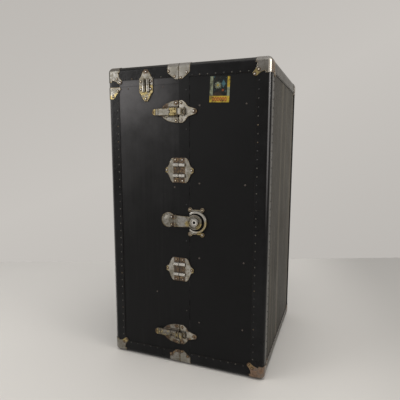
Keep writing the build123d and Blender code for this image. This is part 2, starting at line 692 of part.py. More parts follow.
def chest_shelves():
    """The shelves that the drawers run on, and the top."""
    y = CHEST_Y - CHEST_SIDE_T
    return [block((CHEST_X, CHEST_BACK), (-y, y), (z, z + SHELF_T)) for z in shelf_levels()]


def drawer(low, height):
    """Front, two sides, back and floor of one drawer, standing on the shelf below it."""
    front_x = RIGHT_EDGE + DRAWER_SETBACK
    back_x = CHEST_BACK - DRAWER_PLAY
    y = CHEST_Y - CHEST_SIDE_T - DRAWER_PLAY
    foot = low + SHELF_T + DRAWER_LIFT
    head = foot + height - 8.0
    t = DRAWER_BOARD_T
    start = front_x + DRAWER_FRONT_T
    face_y = CHEST_Y - TONGUE_T - 1.8
    bottom = low + SHELF_T + DRAWER_LIFT + FRONT_REVEAL / 2
    rise = (bottom, bottom + height + SHELF_T - 2 * FRONT_REVEAL)
    face = block((front_x, start), (-face_y, face_y), rise)
    face = chamfer(face.faces().sort_by(Axis.X)[0].edges(), 2.0)
    side = block((start, back_x), (-y, -y + t), (foot, head))
    back = block((back_x - t, back_x), (-y + t, y - t), (foot, head))
    floor = block((start, back_x - t), (-y + t, y - t), (foot, foot + DRAWER_FLOOR_T))
    return [face, side, mirror(side, Plane.XZ), back, floor]


def drawer_knobs(low, height):
    """Two turned knobs on a drawer's front."""
    front_x = RIGHT_EDGE + DRAWER_SETBACK
    z = low + SHELF_T + height / 2
    neck, lip = KNOB_NECK_R, KNOB_OUT - 5.0
    profile = make_face(
        [
            Polyline((0, 0), (KNOB_R * 0.7, 0), (KNOB_R * 0.7, 1.5), (neck, 4.0), (neck, 8.0), (KNOB_R, lip)),
            ThreePointArc((KNOB_R, lip), (KNOB_R * 0.85, KNOB_OUT - 2.0), (KNOB_R * 0.4, KNOB_OUT)),
            Polyline((KNOB_R * 0.4, KNOB_OUT), (0, KNOB_OUT), (0, 0)),
        ]
    )
    knob = revolve(Plane.XZ * profile, Axis.Z)
    return [Pos(front_x, y, z) * Rot(0, -90, 0) * knob for y in (-KNOB_Y, KNOB_Y)]


# ---- hanging side ------------------------------------------------------------------------------------------
def trolley_rails():
    """A wall plate with two round rails and the tie across their free ends."""
    wall = -WIDTH / 2 + LINED_IN
    end = LEFT_EDGE - RAIL_END
    reach = RAIL_Y + 2 * SLEEVE_R
    rails = block((wall, wall + RAIL_PLATE_T), (-reach, reach), (RAIL_Z - RAIL_PLATE_H, RAIL_Z + RAIL_R + 3))
    for y in (-RAIL_Y, RAIL_Y):
        rails += rod(RAIL_R, (wall + RAIL_PLATE_T - 1, end), y, RAIL_Z)
    tie = RAIL_Y + RAIL_R
    return rails + block((end - 1, end + RAIL_TIE_T), (-tie, tie), (RAIL_Z - RAIL_R, RAIL_Z + RAIL_R))


def hanger_trolley():
    """Sleeves on the two rails, the bar between them and the tube that the hangers hang on."""
    start = -WIDTH / 2 + LINED_IN + RAIL_PLATE_T + 2.0
    trolley = block((start, start + CROSSBAR_T), (-RAIL_Y, RAIL_Y), (RAIL_Z - SLEEVE_R, RAIL_Z + SLEEVE_R))
    trolley += block((start, start + CROSSBAR_T), (-TUBE_R, TUBE_R), (TUBE_Z, RAIL_Z))
    trolley += rod(TUBE_R, (start, start + TUBE_L), 0, TUBE_Z)
    for y in (-RAIL_Y, RAIL_Y):
        trolley += rod(SLEEVE_R, (start, start + SLEEVE_L), y, RAIL_Z)
    for y in (-RAIL_Y, RAIL_Y):
        trolley -= rod(RAIL_R + 2 * RUNNING, (-FAR, FAR), y, RAIL_Z)
    return trolley


def hanger_places():
    """Where the hangers hang along the tube."""
    start = -WIDTH / 2 + LINED_IN + RAIL_PLATE_T + 2.0 + CROSSBAR_T
    return [start + HANGER_PITCH * (n + 0.6) for n in range(HANGERS)]


def hanger():
    """A wooden hanger about its hook's eye: a bowed bar that falls away to rounded shoulders."""
    top = -HOOK_SHANK - TUBE_R
    half, tip, band = HANGER_HALF, top - HANGER_DROP, HANGER_BAND
    foot, in_by = tip - band, half - band / 3
    outline = make_face(
        [
            ThreePointArc((-half, tip), (0, top), (half, tip)),
            ThreePointArc((half, tip), (half + band / 6, tip - band / 2), (in_by, foot)),
            ThreePointArc((in_by, foot), (0, top - band * 1.3), (-in_by, foot)),
            ThreePointArc((-in_by, foot), (-half - band / 6, tip - band / 2), (-half, tip)),
        ]
    )
    return TO_SIDE * Pos(0, 0, -HANGER_T / 2) * extrude(outline, HANGER_T)


def hanger_hook():
    """A wire hook with its eye round the tube."""
    turn = TUBE_R + HOOK_R + 0.3
    eye = Plane.YZ * CenterArc((0, 0), turn, -90, 280)
    hook = sweep(Plane(eye @ 0, z_dir=eye % 0) * Circle(HOOK_R), path=eye)
    return hook + rod(HOOK_R, 0, 0, (-HOOK_SHANK - TUBE_R, -turn))


# ---- the trunk ---------------------------------------------------------------------------------------------
def save_boxes():
    """Boards, binding, lining and the battens of both halves and the lid, whose binding is handed back."""
    walls = board_sets()
    for wall in ("top", "bottom", "front", "back"):
        save(f"right_{wall}_panel", right_region(walls[wall]))
    save("right_side_panel", walls["right"])
    for wall in ("bottom", "front", "back"):
        save(f"left_{wall}_panel", left_region(walls[wall]))
    save("left_side_panel", left_region(walls["left"]))
    save("lid_top_panel", lid_region(walls["top"]))
    save("lid_boards", *[lid_region(walls[wall]) for wall in ("left", "front", "back")])
    band, right, left, lid = binding_sets()
    save("right_seam_strip", band)
    save("right_edge_binding", right)
    save("left_edge_binding", left)
    save("lid_edge_binding", lid)
    for node, lining in zip(("right_lining", "left_lining", "lid_lining"), lining_sets()):
        save(node, lining)
    save("right_rim_tongue", *rim_tongue())
    return lid


def save_steel():
    """Corner caps, seam clamps and rim clamps."""
    skin = steel_skin()
    flip_x, flip_y, flip_z = Plane.YZ, Plane.XZ, Plane.XY.offset(HEIGHT / 2)
    cap = corner_cap(skin)
    left = [cap, mirror(cap, flip_y)]
    lid = [mirror(piece, flip_z) for piece in left]
    right = [mirror(piece, flip_x) for piece in left + lid]
    save("left_corner_caps", *left)
    save("lid_corner_caps", *lid)
    save("right_corner_caps", *right)
    clamp = seam_clamp(skin)
    right = [clamp, mirror(clamp, flip_y)]
    right += [mirror(piece, flip_z) for piece in right]
    left = [mirror(piece, Plane.YZ.offset(SEAM_X)) for piece in right]
    save("right_seam_clamps", *right)
    save("lid_seam_clamps", *left[:2])
    save("left_seam_clamps", *left[2:])
    rim = rim_clamp(skin)
    save("left_rim_clamps", rim, mirror(rim, flip_y))


def save_hinges():
    """Three hinges at the back and two on the lid, whose pins are handed back."""
    top = BINDING_T + HINGE_T
    right = hinge_leaf(-1, HINGE_L, HINGE_W, BINDING_T, top, HINGE_AXIS)
    left = hinge_leaf(1, HINGE_L, HINGE_W, 0, top, HINGE_AXIS)
    pin = hinge_pin(HINGE_L, HINGE_AXIS)
    save("rear_hinge_leaves_right", *[on_back(right, SEAM_X, z) for z in HINGE_HEIGHTS])
    save("rear_hinge_leaves_left", *[on_back(left, SEAM_X, z) for z in HINGE_HEIGHTS])
    save("rear_hinge_pins", *[on_back(pin, SEAM_X, z) for z in HINGE_HEIGHTS])
    places = (-LID_HINGE_Y, LID_HINGE_Y)
    upper = hinge_leaf(1, LID_HINGE_L, LID_HINGE_W, 0, HINGE_T, LID_HINGE_AXIS)
    lower = hinge_leaf(-1, LID_HINGE_L, LID_HINGE_W, 0, HINGE_T, LID_HINGE_AXIS)
    pin = hinge_pin(LID_HINGE_L, LID_HINGE_AXIS)
    save("lid_hinge_leaves_upper", *[on_left(upper, y, LID_Z) for y in places])
    save("lid_hinge_leaves_lower", *[on_left(lower, y, LID_Z) for y in places])
    return [on_left(pin, y, LID_Z) for y in places]


def save_front_fittings(pins, lid_binding):
    """Dowels, draw bolts and the lock on the front, and all the pins that the left half holds."""
    plates = dowel_pair(DOWEL_SPAN, DOWEL_ALONG, DOWEL_FLAT, BARREL_AT, SEAM_GAP, DOWEL_X, (0, BINDING_T))
    for node, plate in zip(("dowel_plates_left", "dowel_plates_right"), plates):
        save(node, *[on_front(plate, SEAM_X, z) for z in DOWEL_HEIGHTS])
    sizes = (LID_DOWEL_SPAN, LID_DOWEL_ALONG, LID_DOWEL_FLAT, LID_BARREL_AT)
    upright = Rot(0, 0, -90)
    plates = dowel_pair(*sizes, LID_GAP, 0, (0, 0))
    socket, pegged = (on_front(upright * plate, LID_DOWEL_X, LID_Z) for plate in reversed(plates))
    save("lid_dowel_plate", pegged - lid_binding)
    save("lid_dowel_socket", socket)
    for node, piece in (("draw_bases", draw_base()), ("draw_catches", draw_catch())):
        save(node, *[on_front(piece, SEAM_X, z) for z in BOLT_HEIGHTS])
    pins += [on_front(draw_pin(), SEAM_X, z) for z in BOLT_HEIGHTS]
    lever, link = draw_lever(), draw_link()
    for place, z in zip(("bottom", "top"), BOLT_HEIGHTS):
        save(f"draw_lever_{place}", on_front(lever, SEAM_X, z))
        save(f"draw_link_{place}", on_front(link, SEAM_X, z))
    lock = {"hasp_plate": hasp_plate(), "hasp": hasp()}
    lock |= {"lock_cylinder": lock_cylinder(), "lock_keeper": lock_keeper()}
    for node, piece in lock.items():
        save(node, on_front(piece, SEAM_X, LOCK_HEIGHT))
    save("left_fitting_pins", *pins, on_front(hasp_pin(), SEAM_X, LOCK_HEIGHT))


def save_insides():
    """The chest of drawers, and the rail, trolley and hangers."""
    save("chest_sides", *chest_sides())
    save("chest_shelves", *chest_shelves())
    for n, (low, height) in enumerate(zip(shelf_levels(), DRAWER_HEIGHTS), start=1):
        save(f"drawer_{n}", *drawer(low, height))
        save(f"drawer_{n}_knobs", *drawer_knobs(low, height))
    save("trolley_rails", trolley_rails())
    save("hanger_trolley", hanger_trolley())
    save("garment_hangers", *[Pos(x, 0, TUBE_Z) * hanger() for x in hanger_places()])
    save("hanger_hooks", *[Pos(x, 0, TUBE_Z) * hanger_hook() for x in hanger_places()])


os.makedirs("parts", exist_ok=True)
lid_binding = save_boxes()
save_steel()
lid_pins = save_hinges()
save_front_fittings(lid_pins, lid_binding)
save_insides()
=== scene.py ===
"""Open-top wardrobe steamer trunk: the finish of every piece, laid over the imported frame.

The trunk stands closed. Boards, bindings, linings, battens and the chest keep their solids and get a finish.
Plated fittings, drawers and hangers are copied and get softened edges. Nails and rivets are set by Geometry
Nodes, one mesh a body.
"""

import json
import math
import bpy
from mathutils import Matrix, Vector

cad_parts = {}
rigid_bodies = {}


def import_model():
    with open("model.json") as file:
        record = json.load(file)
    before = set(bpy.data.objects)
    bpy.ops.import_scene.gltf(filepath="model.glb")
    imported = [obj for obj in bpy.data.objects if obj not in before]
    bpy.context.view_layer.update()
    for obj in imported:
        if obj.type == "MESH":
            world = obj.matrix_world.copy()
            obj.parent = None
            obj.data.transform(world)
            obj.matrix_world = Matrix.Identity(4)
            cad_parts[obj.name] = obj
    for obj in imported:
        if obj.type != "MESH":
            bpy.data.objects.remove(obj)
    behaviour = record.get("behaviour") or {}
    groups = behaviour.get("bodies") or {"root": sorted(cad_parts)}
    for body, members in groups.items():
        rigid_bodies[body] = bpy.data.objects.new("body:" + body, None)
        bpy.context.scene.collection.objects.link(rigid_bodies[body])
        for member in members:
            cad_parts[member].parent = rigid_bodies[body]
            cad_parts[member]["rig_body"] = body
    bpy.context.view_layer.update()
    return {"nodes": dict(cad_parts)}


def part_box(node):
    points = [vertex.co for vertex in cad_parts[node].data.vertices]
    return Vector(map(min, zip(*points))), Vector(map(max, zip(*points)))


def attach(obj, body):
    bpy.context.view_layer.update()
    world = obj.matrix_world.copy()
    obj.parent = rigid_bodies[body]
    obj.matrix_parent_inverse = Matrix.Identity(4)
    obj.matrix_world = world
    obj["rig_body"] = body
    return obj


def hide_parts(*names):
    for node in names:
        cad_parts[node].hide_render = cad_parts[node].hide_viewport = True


bl_info = {
    "name": "Steamer trunk finish",
    "version": (1, 0, 0),
    "blender": (4, 5, 0),
    "location": "3D View > Sidebar > Trunk",
    "description": "Lays the finish of a wardrobe steamer trunk over its packed frame",
    "category": "Object",
}

import bmesh
import bpy
from bpy.props import FloatProperty, FloatVectorProperty, PointerProperty
from mathutils import Matrix, Vector

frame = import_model()
NODES = frame["nodes"]
MM = 0.001

# Planes and edges of the shell, read from the frame.
BOARD_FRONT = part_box("right_front_panel")[0].y
BINDING_LOW, BINDING_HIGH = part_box("right_edge_binding")
CAP_LOW, CAP_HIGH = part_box("right_corner_caps")
LEFT_LOW, LEFT_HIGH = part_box("left_edge_binding")
LID_LOW, LID_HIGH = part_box("lid_edge_binding")
TOP = CAP_HIGH.z
SEAM = (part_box("right_front_panel")[0].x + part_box("left_front_panel")[1].x) / 2
PLATE_FRONT = BOARD_FRONT - 3.6 * MM
LID_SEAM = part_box("lid_boards")[0].z

# Reaches of the fittings, from which heads and marks are placed.
NAIL_INSET = 36.7 * MM  # from an outer edge to the nail row beside it
END_INSET = 40.3 * MM  # from the top or bottom to the nail row along it
CAP_REACH = 68 * MM  # how far a corner cap covers each edge
DOWEL_HALF = 40.5 * MM  # half the height of a dowel plate
LOCK_OFFSET = 60 * MM  # from the seam to the middle of the keeper


def halfway(node, axis):
    """The middle of a node's box along one axis."""
    return sum(getattr(corner, axis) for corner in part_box(node)) / 2


def tint(tone, factor):
    """A colour made darker or lighter."""
    return tuple(value * factor for value in tone)


# ---- sizes and colours that a user would change --------------------------------------------------------
def length(name, default, description):
    return FloatProperty(
        name=name, description=description, default=default, min=0.0, unit="LENGTH", precision=5
    )


def angle(name, default, description):
    return FloatProperty(name=name, description=description, default=default, subtype="ANGLE")


def colour(name, default, description):
    return FloatVectorProperty(
        name=name, description=description, default=default, size=3, min=0.0, max=1.0, subtype="COLOR"
    )


class TrunkSizes(bpy.types.PropertyGroup):
    """Sizes of the small work on the trunk."""

    nail_pitch: length("Nail pitch", 25.4 * MM, "Distance between the nails of a binding")
    nail_radius: length("Nail head radius", 2.5 * MM, "Radius of a binding nail's head")
    nail_height: length("Nail head height", 1.2 * MM, "How far a nail's head stands out")
    rivet_radius: length("Rivet head radius", 3.4 * MM, "Radius of a fitting's rivet head")
    rivet_height: length("Rivet head height", 1.7 * MM, "How far a rivet's head stands out")
    edge_softness: length("Edge softness", 0.5 * MM, "Width of the rounding on the edges of plated fittings")
    weave_pitch: length("Weave pitch", 1.3 * MM, "Distance between threads of the covering cloth")
    label_thickness: length("Label thickness", 0.3 * MM, "Thickness of the travel label")


class TrunkColours(bpy.types.PropertyGroup):
    """Colours of the trunk's finishes."""

    board: colour("Board black", (0.0042, 0.0042, 0.0045), "Black paint over the covering cloth")
    # Board faded is also the colour of the painted sheen on the faded boards and of the painted highlights on
    # the fibre's roundings.
    board_fade_and_sheen: colour("Board faded", (0.050, 0.048, 0.049), "The paint where light has faded it")
    side_dust: colour("Side grey", (0.081, 0.071, 0.052), "Dulled paint of the right side")
    binding: colour("Binding", (0.0050, 0.0050, 0.0054), "Black vulcanised fibre")
    fibre_core: colour("Fibre core", (0.045, 0.030, 0.020), "Brown core of the fibre where it is worn")
    nickel: colour("Nickel", (0.47, 0.455, 0.425), "Nickel plate")
    nickel_dull: colour("Dull nickel", (0.240, 0.222, 0.180), "Nickel plate gone dull")
    brass: colour("Brass", (0.46, 0.365, 0.160), "Brass under the worn plate")
    tan: colour("Tan patina", (0.245, 0.150, 0.052), "Where the plate is rubbed thin at edges")
    rust: colour("Rust", (0.084, 0.041, 0.014), "Rust at edges and in corners")
    top_dust: colour("Top dust", (0.060, 0.050, 0.040), "Dust that lies on top of metal and fibre")
    # Grime is laid in corners, joints and slots of the fittings, as dirt and painted shade.
    grime_and_shade: colour("Grime", (0.022, 0.016, 0.011), "Dirt in corners")
    lining: colour("Lining", (0.50, 0.45, 0.345), "Ground of the paper lining")
    lining_print: colour("Lining print", (0.17, 0.135, 0.075), "Print of the paper lining")
    batten: colour("Batten", (0.115, 0.065, 0.034), "Stained hardwood")
    drawer_wood: colour("Drawer wood", (0.26, 0.130, 0.052), "Varnished plywood")
    hanger_wood: colour("Hanger wood", (0.44, 0.28, 0.15), "Varnished beech")
    label_ground: colour("Label ground", (0.005, 0.007, 0.007), "Dark field of the travel label")
    label_band: colour("Label band", (0.43, 0.305, 0.034), "Band and disc of the travel label")
    label_teal: colour("Label teal", (0.045, 0.110, 0.130), "Kite and clouds of the travel label")
    label_red: colour("Label red", (0.30, 0.070, 0.018), "Plait and dot of the travel label")
    label_motif: colour("Label motif", (0.205, 0.225, 0.150), "Rays, flecks and strips of the travel label")


class TrunkStudio(bpy.types.PropertyGroup):
    """Camera, lamps and floor."""

    lens: FloatProperty(name="Lens", description="Focal length", default=34.0, min=10.0, unit="CAMERA")
    camera_place: FloatVectorProperty(
        name="Camera",
        description="Where the camera stands",
        default=(0.4833, -1.4076, 0.7529),
        subtype="TRANSLATION",
    )
    camera_turn: angle("Turn", 0.3605, "Turn of the camera about Z")
    camera_dip: angle("Dip", 0.1398, "How far the camera looks below level")
    camera_roll: angle("Roll", 0.0024, "Roll of the camera about its line of sight")
    floor: colour("Floor", (0.60, 0.575, 0.542), "Pale floor")
    backdrop: colour("Backdrop", (0.570, 0.545, 0.514), "Pale wall behind")


# ---- node trees ----------------------------------------------------------------------------------------
class Wire:
    """One value in a node tree. Python's operators on it add Math nodes."""

    def __init__(self, bench, socket):
        self.bench = bench
        self.socket = socket

    def __add__(self, other):
        return self.bench.sum("ADD", self, other)

    __radd__ = __add__

    def __sub__(self, other):
        return self.bench.sum("SUBTRACT", self, other)

    def __rsub__(self, other):
        return self.bench.sum("SUBTRACT", other, self)

    def __mul__(self, other):
        return self.bench.sum("MULTIPLY", self, other)

    __rmul__ = __mul__

    def __truediv__(self, other):
        return self.bench.sum("DIVIDE", self, other)

    def __pow__(self, other):
        return self.bench.sum("POWER", self, other)

    def beside(self, output):
        """Another output of the same node."""
        return Wire(self.bench, self.socket.node.outputs[output])


class Bench:
    """A node tree being made. One method adds every node."""

    def __init__(self, tree):
        self.tree = tree

    def node(self, kind, settings=None, values=None, output=0):
        added = self.tree.nodes.new(kind)
        for key, value in (settings or {}).items():
            setattr(added, key, value)
        for key, value in (values or {}).items():
            if isinstance(value, Wire):
                self.tree.links.new(value.socket, added.inputs[key])
            else:
                added.inputs[key].default_value = value
        return Wire(self, added.outputs[output])

    def sum(self, operation, a, b=0.0, clamp=False):
        return self.node("ShaderNodeMath", {"operation": operation, "use_clamp": clamp}, {0: a, 1: b})

    def largest(self, *values):
        result = values[0]
        for value in values[1:]:
            result = self.sum("MAXIMUM", result, value)
        return result

    def vectors(self, operation, a, b, output=0):
        return self.node("ShaderNodeVectorMath", {"operation": operation}, {0: a, 1: b}, output)


class Finish(Bench):
    """A material being made: its node tree, its one shader, and its base colour, laid coat by coat."""

    def __init__(self, name, constants=None):
        self.material = bpy.data.materials.new(name)
        self.material.use_nodes = True
        super().__init__(self.material.node_tree)
        self.shader = self.tree.nodes["Principled BSDF"]
        for socket, value in (constants or {}).items():
            self.shader.inputs[socket].default_value = value
        self.place = self.node("ShaderNodeTexCoord", output="Object")
        self.facing = self.place.beside("Normal")

    def clamped(self, value):
        return self.sum("ADD", value, 0.0, True)

    def away(self, value, centre=0.0):
        """How far a value is from a centre."""
        return self.sum("ABSOLUTE", value - centre if centre else value)

    def band(self, value, low, high):
        """0 below low and 1 above high, smooth between. Low may be the larger."""
        ends = {"Value": value, "From Min": low, "From Max": high}
        return self.node("ShaderNodeMapRange", {"interpolation_type": "SMOOTHSTEP"}, ends)

    def mix(self, mask, a, b):
        """Colour a where the mask is 0, colour b where it is 1."""
        a, b = (value if isinstance(value, Wire) else (*value, 1.0) for value in (a, b))
        return self.node("ShaderNodeMix", {"data_type": "RGBA"}, {0: mask, 6: a, 7: b}, 2)

    def lay(self, mask, tone):
        """Lays a tone over the base colour where the mask is 1."""
        self.base = self.mix(mask, self.base, tone)

    def noise(self, scale, detail, rough, stretch=(1, 1, 1), shift=0.0, twist=0.0):
        """Noise from about 0.2 to 0.8. A shift gives each use a field of its own."""
        moved = {"Vector": self.place, "Location": (shift, shift * 0.7, shift * 1.3), "Scale": stretch}
        where = self.node("ShaderNodeMapping", None, moved)
        given = {"Vector": where, "Scale": scale, "Detail": detail, "Roughness": rough, "Distortion": twist}
        return self.node("ShaderNodeTexNoise", None, given)

    def part(self, vector, axis):
        return self.node("ShaderNodeSeparateXYZ", None, {0: vector}).beside("XYZ".index(axis))

    def attribute(self, name):
        return self.node("ShaderNodeAttribute", {"attribute_name": name}, None, "Fac")

    def at(self, axis):
        """Where the surface is along one axis, in metres."""
        return self.part(self.place, axis)

    def toward(self, axis):
        """How much the surface faces along one axis, from -1 to 1."""
        return self.part(self.facing, axis)

    def across(self):
        """Above 0 on the rounding of an upright edge, 0 on the faces beside it."""
        return self.away(self.toward("X")) * self.away(self.toward("Y"))

    def ripple(self, pitch, axis):
        """A wave of the given pitch along one axis, from 0 to 1."""
        return self.sum("SINE", self.at(axis) * (2 * math.pi / pitch)) * 0.5 + 0.5

    def lattice(self, cell):
        """Three crossing waves of the given pitch, from -3 to 3."""
        x, y, z = (self.sum("COSINE", self.at(axis) * (2 * math.pi / cell)) for axis in "XYZ")
        return x + y + z

    def edges(self, reach):
        """1 at an edge or inner corner, falling to 0 at about the given reach from it."""
        rounded = self.node("ShaderNodeBevel", {"samples": 6}, {"Radius": reach})
        true = self.node("ShaderNodeNewGeometry", output="Normal")
        return self.band(self.vectors("DOT_PRODUCT", rounded, true, "Value"), 0.999, 0.86)

    def corners(self, reach):
        """1 deep in a corner between pieces, 0 in the open."""
        open_air = self.node("ShaderNodeAmbientOcclusion", {"samples": 6}, {"Distance": reach}, "AO")
        return self.band(open_air, 0.96, 0.58)

    def patch(self, centre, radius, ragged):
        """A rough-edged round patch about a place."""
        far = self.vectors("DISTANCE", self.place, centre, "Value")
        frayed = far / radius + (self.noise(210, 5, 0.72) - 0.5) * (2.6 * ragged)
        return self.band(frayed, 1.30, 0.70)

    def within(self, axis, low, high, soft):
        """1 between two places along an axis."""
        along = self.at(axis)
        return self.band(along, low - soft, low + soft) * self.band(along, high + soft, high - soft)

    def marks(self, listed, ragged, soft=0.0005):
        """The strongest of some marks: (place, radius) patches, and (x, x) stripes or (x, x, z, z) boxes."""
        made = []
        for mark in listed:
            if not isinstance(mark[0], float):
                made.append(self.patch(*mark, ragged))
                continue
            made.append(self.within("X", *mark[:2], soft))
            if len(mark) == 4:
                made[-1] = made[-1] * self.within("Z", *mark[2:], soft)
        return self.largest(*made)

    def relief(self, height, depth, strength):
        bump = self.node("ShaderNodeBump", None, {"Height": height, "Distance": depth, "Strength": strength})
        self.tree.links.new(bump.socket, self.shader.inputs["Normal"])

    def end(self, **sockets):
        """Links the base colour and what else varies, sets what does not, and returns the material."""
        self.tree.links.new(self.base.socket, self.shader.inputs["Base Color"])
        for key, value in sockets.items():
            socket = self.shader.inputs[key.capitalize()]
            if isinstance(value, Wire):
                self.tree.links.new(value.socket, socket)
            else:
                socket.default_value = value
        return self.material


def sizes():
    return bpy.context.scene.trunk_sizes


def colours():
    return bpy.context.scene.trunk_colours


# ---- finishes ------------------------------------------------------------------------------------------
def weave(f):
    """The crossing threads of the covering cloth."""
    pitch = sizes().weave_pitch
    return f.ripple(pitch, "X") + f.ripple(pitch, "Y") + f.ripple(pitch, "Z")


def crack(f, low, high, start, full):
    """A ragged dark stripe between two places along Y."""
    return f.within("Y", low, high, 0.001) * f.band(f.noise(60, 4, 0.7, shift=18.0), start, full)


def grey_side(f, cloud, run, streaks):
    """The outer side's dulled paint: upright runs, darker low down and near the front."""
    grey = colours().side_dust
    dull = f.mix(f.clamped(0.5 + (run - 0.5) * 2.6 * streaks), tint(grey, 0.52), tint(grey, 0.88))
    low = f.band(f.at("Z") + (cloud - 0.5) * 0.3, 0.70, 0.15) * 0.85
    near = f.band(f.at("Y") + (run - 0.5) * 0.2, 0.22, -0.24) * 0.55
    dull = f.mix(f.clamped(low + near), dull, tint(grey, 0.34))
    dark_runs = f.band(f.noise(9, 5, 0.7, stretch=(16, 16, 0.35), shift=11.0), 0.60, 0.74)
    dull = f.mix(dark_runs * 0.60, dull, tint(grey, 0.22))
    broad = f.noise(6, 4, 0.65, stretch=(4, 4, 0.10), shift=23.0)
    dull = f.mix(f.band(broad, 0.48, 0.38) * 0.60, dull, tint(grey, 0.35))
    dull = f.mix(f.band(broad, 0.52, 0.62) * 0.60, dull, tint(grey, 1.6))
    dull = f.mix(crack(f, -0.2400, -0.219, 0.40, 0.47) * 0.95, dull, colours().board)
    pale_runs = f.band(f.noise(6, 5, 0.7, stretch=(22, 22, 0.25), shift=17.0), 0.66, 0.76)
    return f.mix(pale_runs * 0.45, dull, tint(grey, 1.6))


def cloth_cover(name, faded=0.0, dust=0.0, streaks=0.3):
    """Painted cloth over plywood. Faded lifts the upper part with faded paint and a painted sheen, dust turns
    the outer side grey.
    """
    paint = colours()
    f = Finish(name, {"Specular IOR Level": 0.15})
    cloud = f.noise(5.5, 5, 0.6)
    fine = f.noise(55, 4, 0.65, shift=3.1)
    run = f.noise(7.0, 4, 0.62, stretch=(11, 11, 0.55), shift=1.7)
    top = f.band(f.toward("Z"), 0.6, 0.9)
    f.base = f.mix(f.clamped(0.25 + (cloud - 0.5) * 1.2), paint.board, tint(paint.board, 1.8))

    # Light has faded the upper, outer part, and a painted sheen lightens it further, most of all near the
    # top.
    high = f.band(f.at("Z") + (cloud - 0.5) * 0.35, 0.40, 1.05)
    outward = f.band(f.at("X") * -1.0 + (cloud - 0.5) * 0.20, -0.06, 0.24)
    worn = f.clamped(high * outward * faded + (run - 0.5) * 0.35 * faded) * (1.0 - top)
    f.lay(worn, paint.board_fade_and_sheen)
    bleached_and_sheen = f.band(f.at("Z") + (cloud - 0.5) * 0.25, 0.72, 0.98) * outward * faded * (1.0 - top)
    f.lay(bleached_and_sheen * 0.9, tint(paint.board_fade_and_sheen, 2.7))

    # Dust lies on top, scuffs are everywhere and specks are near the floor.
    settled = f.clamped(0.45 + (f.noise(9, 6, 0.65, shift=31.0) - 0.5) * 2.2)
    f.lay(top * settled * 0.6, tint(paint.top_dust, 0.62))
    scuffs = f.band(f.noise(30, 6, 0.7, stretch=(1, 1, 0.5), shift=7.3), 0.66, 0.80)
    f.lay(scuffs * 0.30, tint(paint.board_fade_and_sheen, 1.6))
    specks = f.band(f.noise(130, 5, 0.75, shift=21.0), 0.70, 0.78) * f.band(f.at("Z"), 0.32, 0.04)
    f.lay(specks * 0.7, paint.side_dust)
    if dust:
        side = f.band(f.toward("X"), 0.55, 0.9)
        f.lay(side * dust, grey_side(f, cloud, run, streaks))
        # Painted shade: darker in the corners of the outer side.
        f.lay(f.corners(0.0090) * side * 0.9, (0.010, 0.009, 0.008))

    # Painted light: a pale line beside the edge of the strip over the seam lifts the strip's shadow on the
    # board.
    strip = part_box("right_seam_strip")[1].x
    beside = f.within("X", strip, strip + 0.0018, 0.0004) * f.band(f.toward("Y"), -0.5, -0.9)
    f.lay(beside * f.band(fine, 0.40, 0.60), tint(paint.board_fade_and_sheen, 0.8))
    f.relief(weave(f) * 0.16 + fine * 0.5 + run * 0.35, 0.0006, 0.55)
    roughness = f.clamped(0.50 + (cloud - 0.5) * 0.30 + scuffs * 0.12 + top * 0.12)
    return f.end(roughness=roughness)


def fibre(name, dust=0.0):
    """Vulcanised fibre binding, rubbed brown at its edges, glossy on its roundings with a painted highlight
    there, and dulled by dust.
    """
    paint = colours()
    f = Finish(name, {"Specular IOR Level": 0.16, "Coat Roughness": 0.16, "Coat IOR": 1.7})
    cloud = f.noise(14, 5, 0.6)
    fine = f.noise(120, 4, 0.6, shift=2.0)
    edge = f.edges(0.0022)
    rubbed = f.band(edge * 0.75 + (f.noise(70, 5, 0.7, shift=5.0) - 0.5) * 1.5, 0.62, 0.92)
    f.base = f.mix(f.band(cloud, 0.35, 0.7), paint.binding, tint(paint.binding, 1.8))
    f.lay(rubbed * 0.6, paint.fibre_core)
    chips = f.band(f.noise(85, 5, 0.75, shift=9.0), 0.70, 0.78)
    f.lay(chips * 0.5, tint(paint.fibre_core, 2.0))
    across = f.across()
    gloss_and_highlight = f.band(across, 0.18, 0.38) * (1.0 - chips * 0.5)
    if dust:
        # On the dusty side a painted highlight runs down the upper part of the upright rounding.
        glint = f.band(f.away(f.toward("X"), 0.62), 0.17, 0.07) * f.band(across, 0.30, 0.40)
        gloss_and_highlight = glint * f.band(f.at("Z"), 0.46, 0.76)
        f.lay(gloss_and_highlight * 0.75, tint(paint.board_fade_and_sheen, 3.4))
        side = f.band(f.toward("X"), 0.80, 0.98) * f.within("Y", -0.260, 0.236, 0.003)
        run = f.noise(20.0, 6, 0.68, stretch=(1, 1, 0.6), shift=1.7)
        dull = f.mix(f.band(run, 0.34, 0.66), tint(paint.side_dust, 0.45), tint(paint.side_dust, 0.85))
        ruddy = f.band(f.noise(26, 4, 0.6, shift=14.0), 0.50, 0.70) * 0.4
        dull = f.mix(ruddy, dull, (0.052, 0.034, 0.027))
        dull = f.mix(crack(f, -0.2430, -0.230, 0.46, 0.54) * 0.9, dull, paint.board)
        f.lay(side * dust, dull)
        # Painted shade: darker in the corners of the outer side.
        f.lay(f.corners(0.0070) * side * 0.85, (0.008, 0.007, 0.006))
    else:
        # Elsewhere the roundings get a painted highlight.
        f.lay(gloss_and_highlight * 0.35, paint.board_fade_and_sheen)
    dusty = f.band(f.toward("Z"), 0.25, 0.75)
    f.lay(dusty * 0.4, tint(paint.top_dust, 0.4))
    dead = f.band(f.at("Y"), 0.230, 0.238) * (0.6 if dust else 0.0)
    dents = f.noise(45, 3, 0.55, shift=4.0)
    f.relief(fine * 0.25 + dents, 0.0014, 0.55)
    f.tree.links.new((gloss_and_highlight * 0.8).socket, f.shader.inputs["Coat Weight"])
    roughness = f.clamped(0.30 + (cloud - 0.5) * 0.22 + rubbed * 0.2 + dusty * 0.35 + dead)
    return f.end(roughness=roughness)


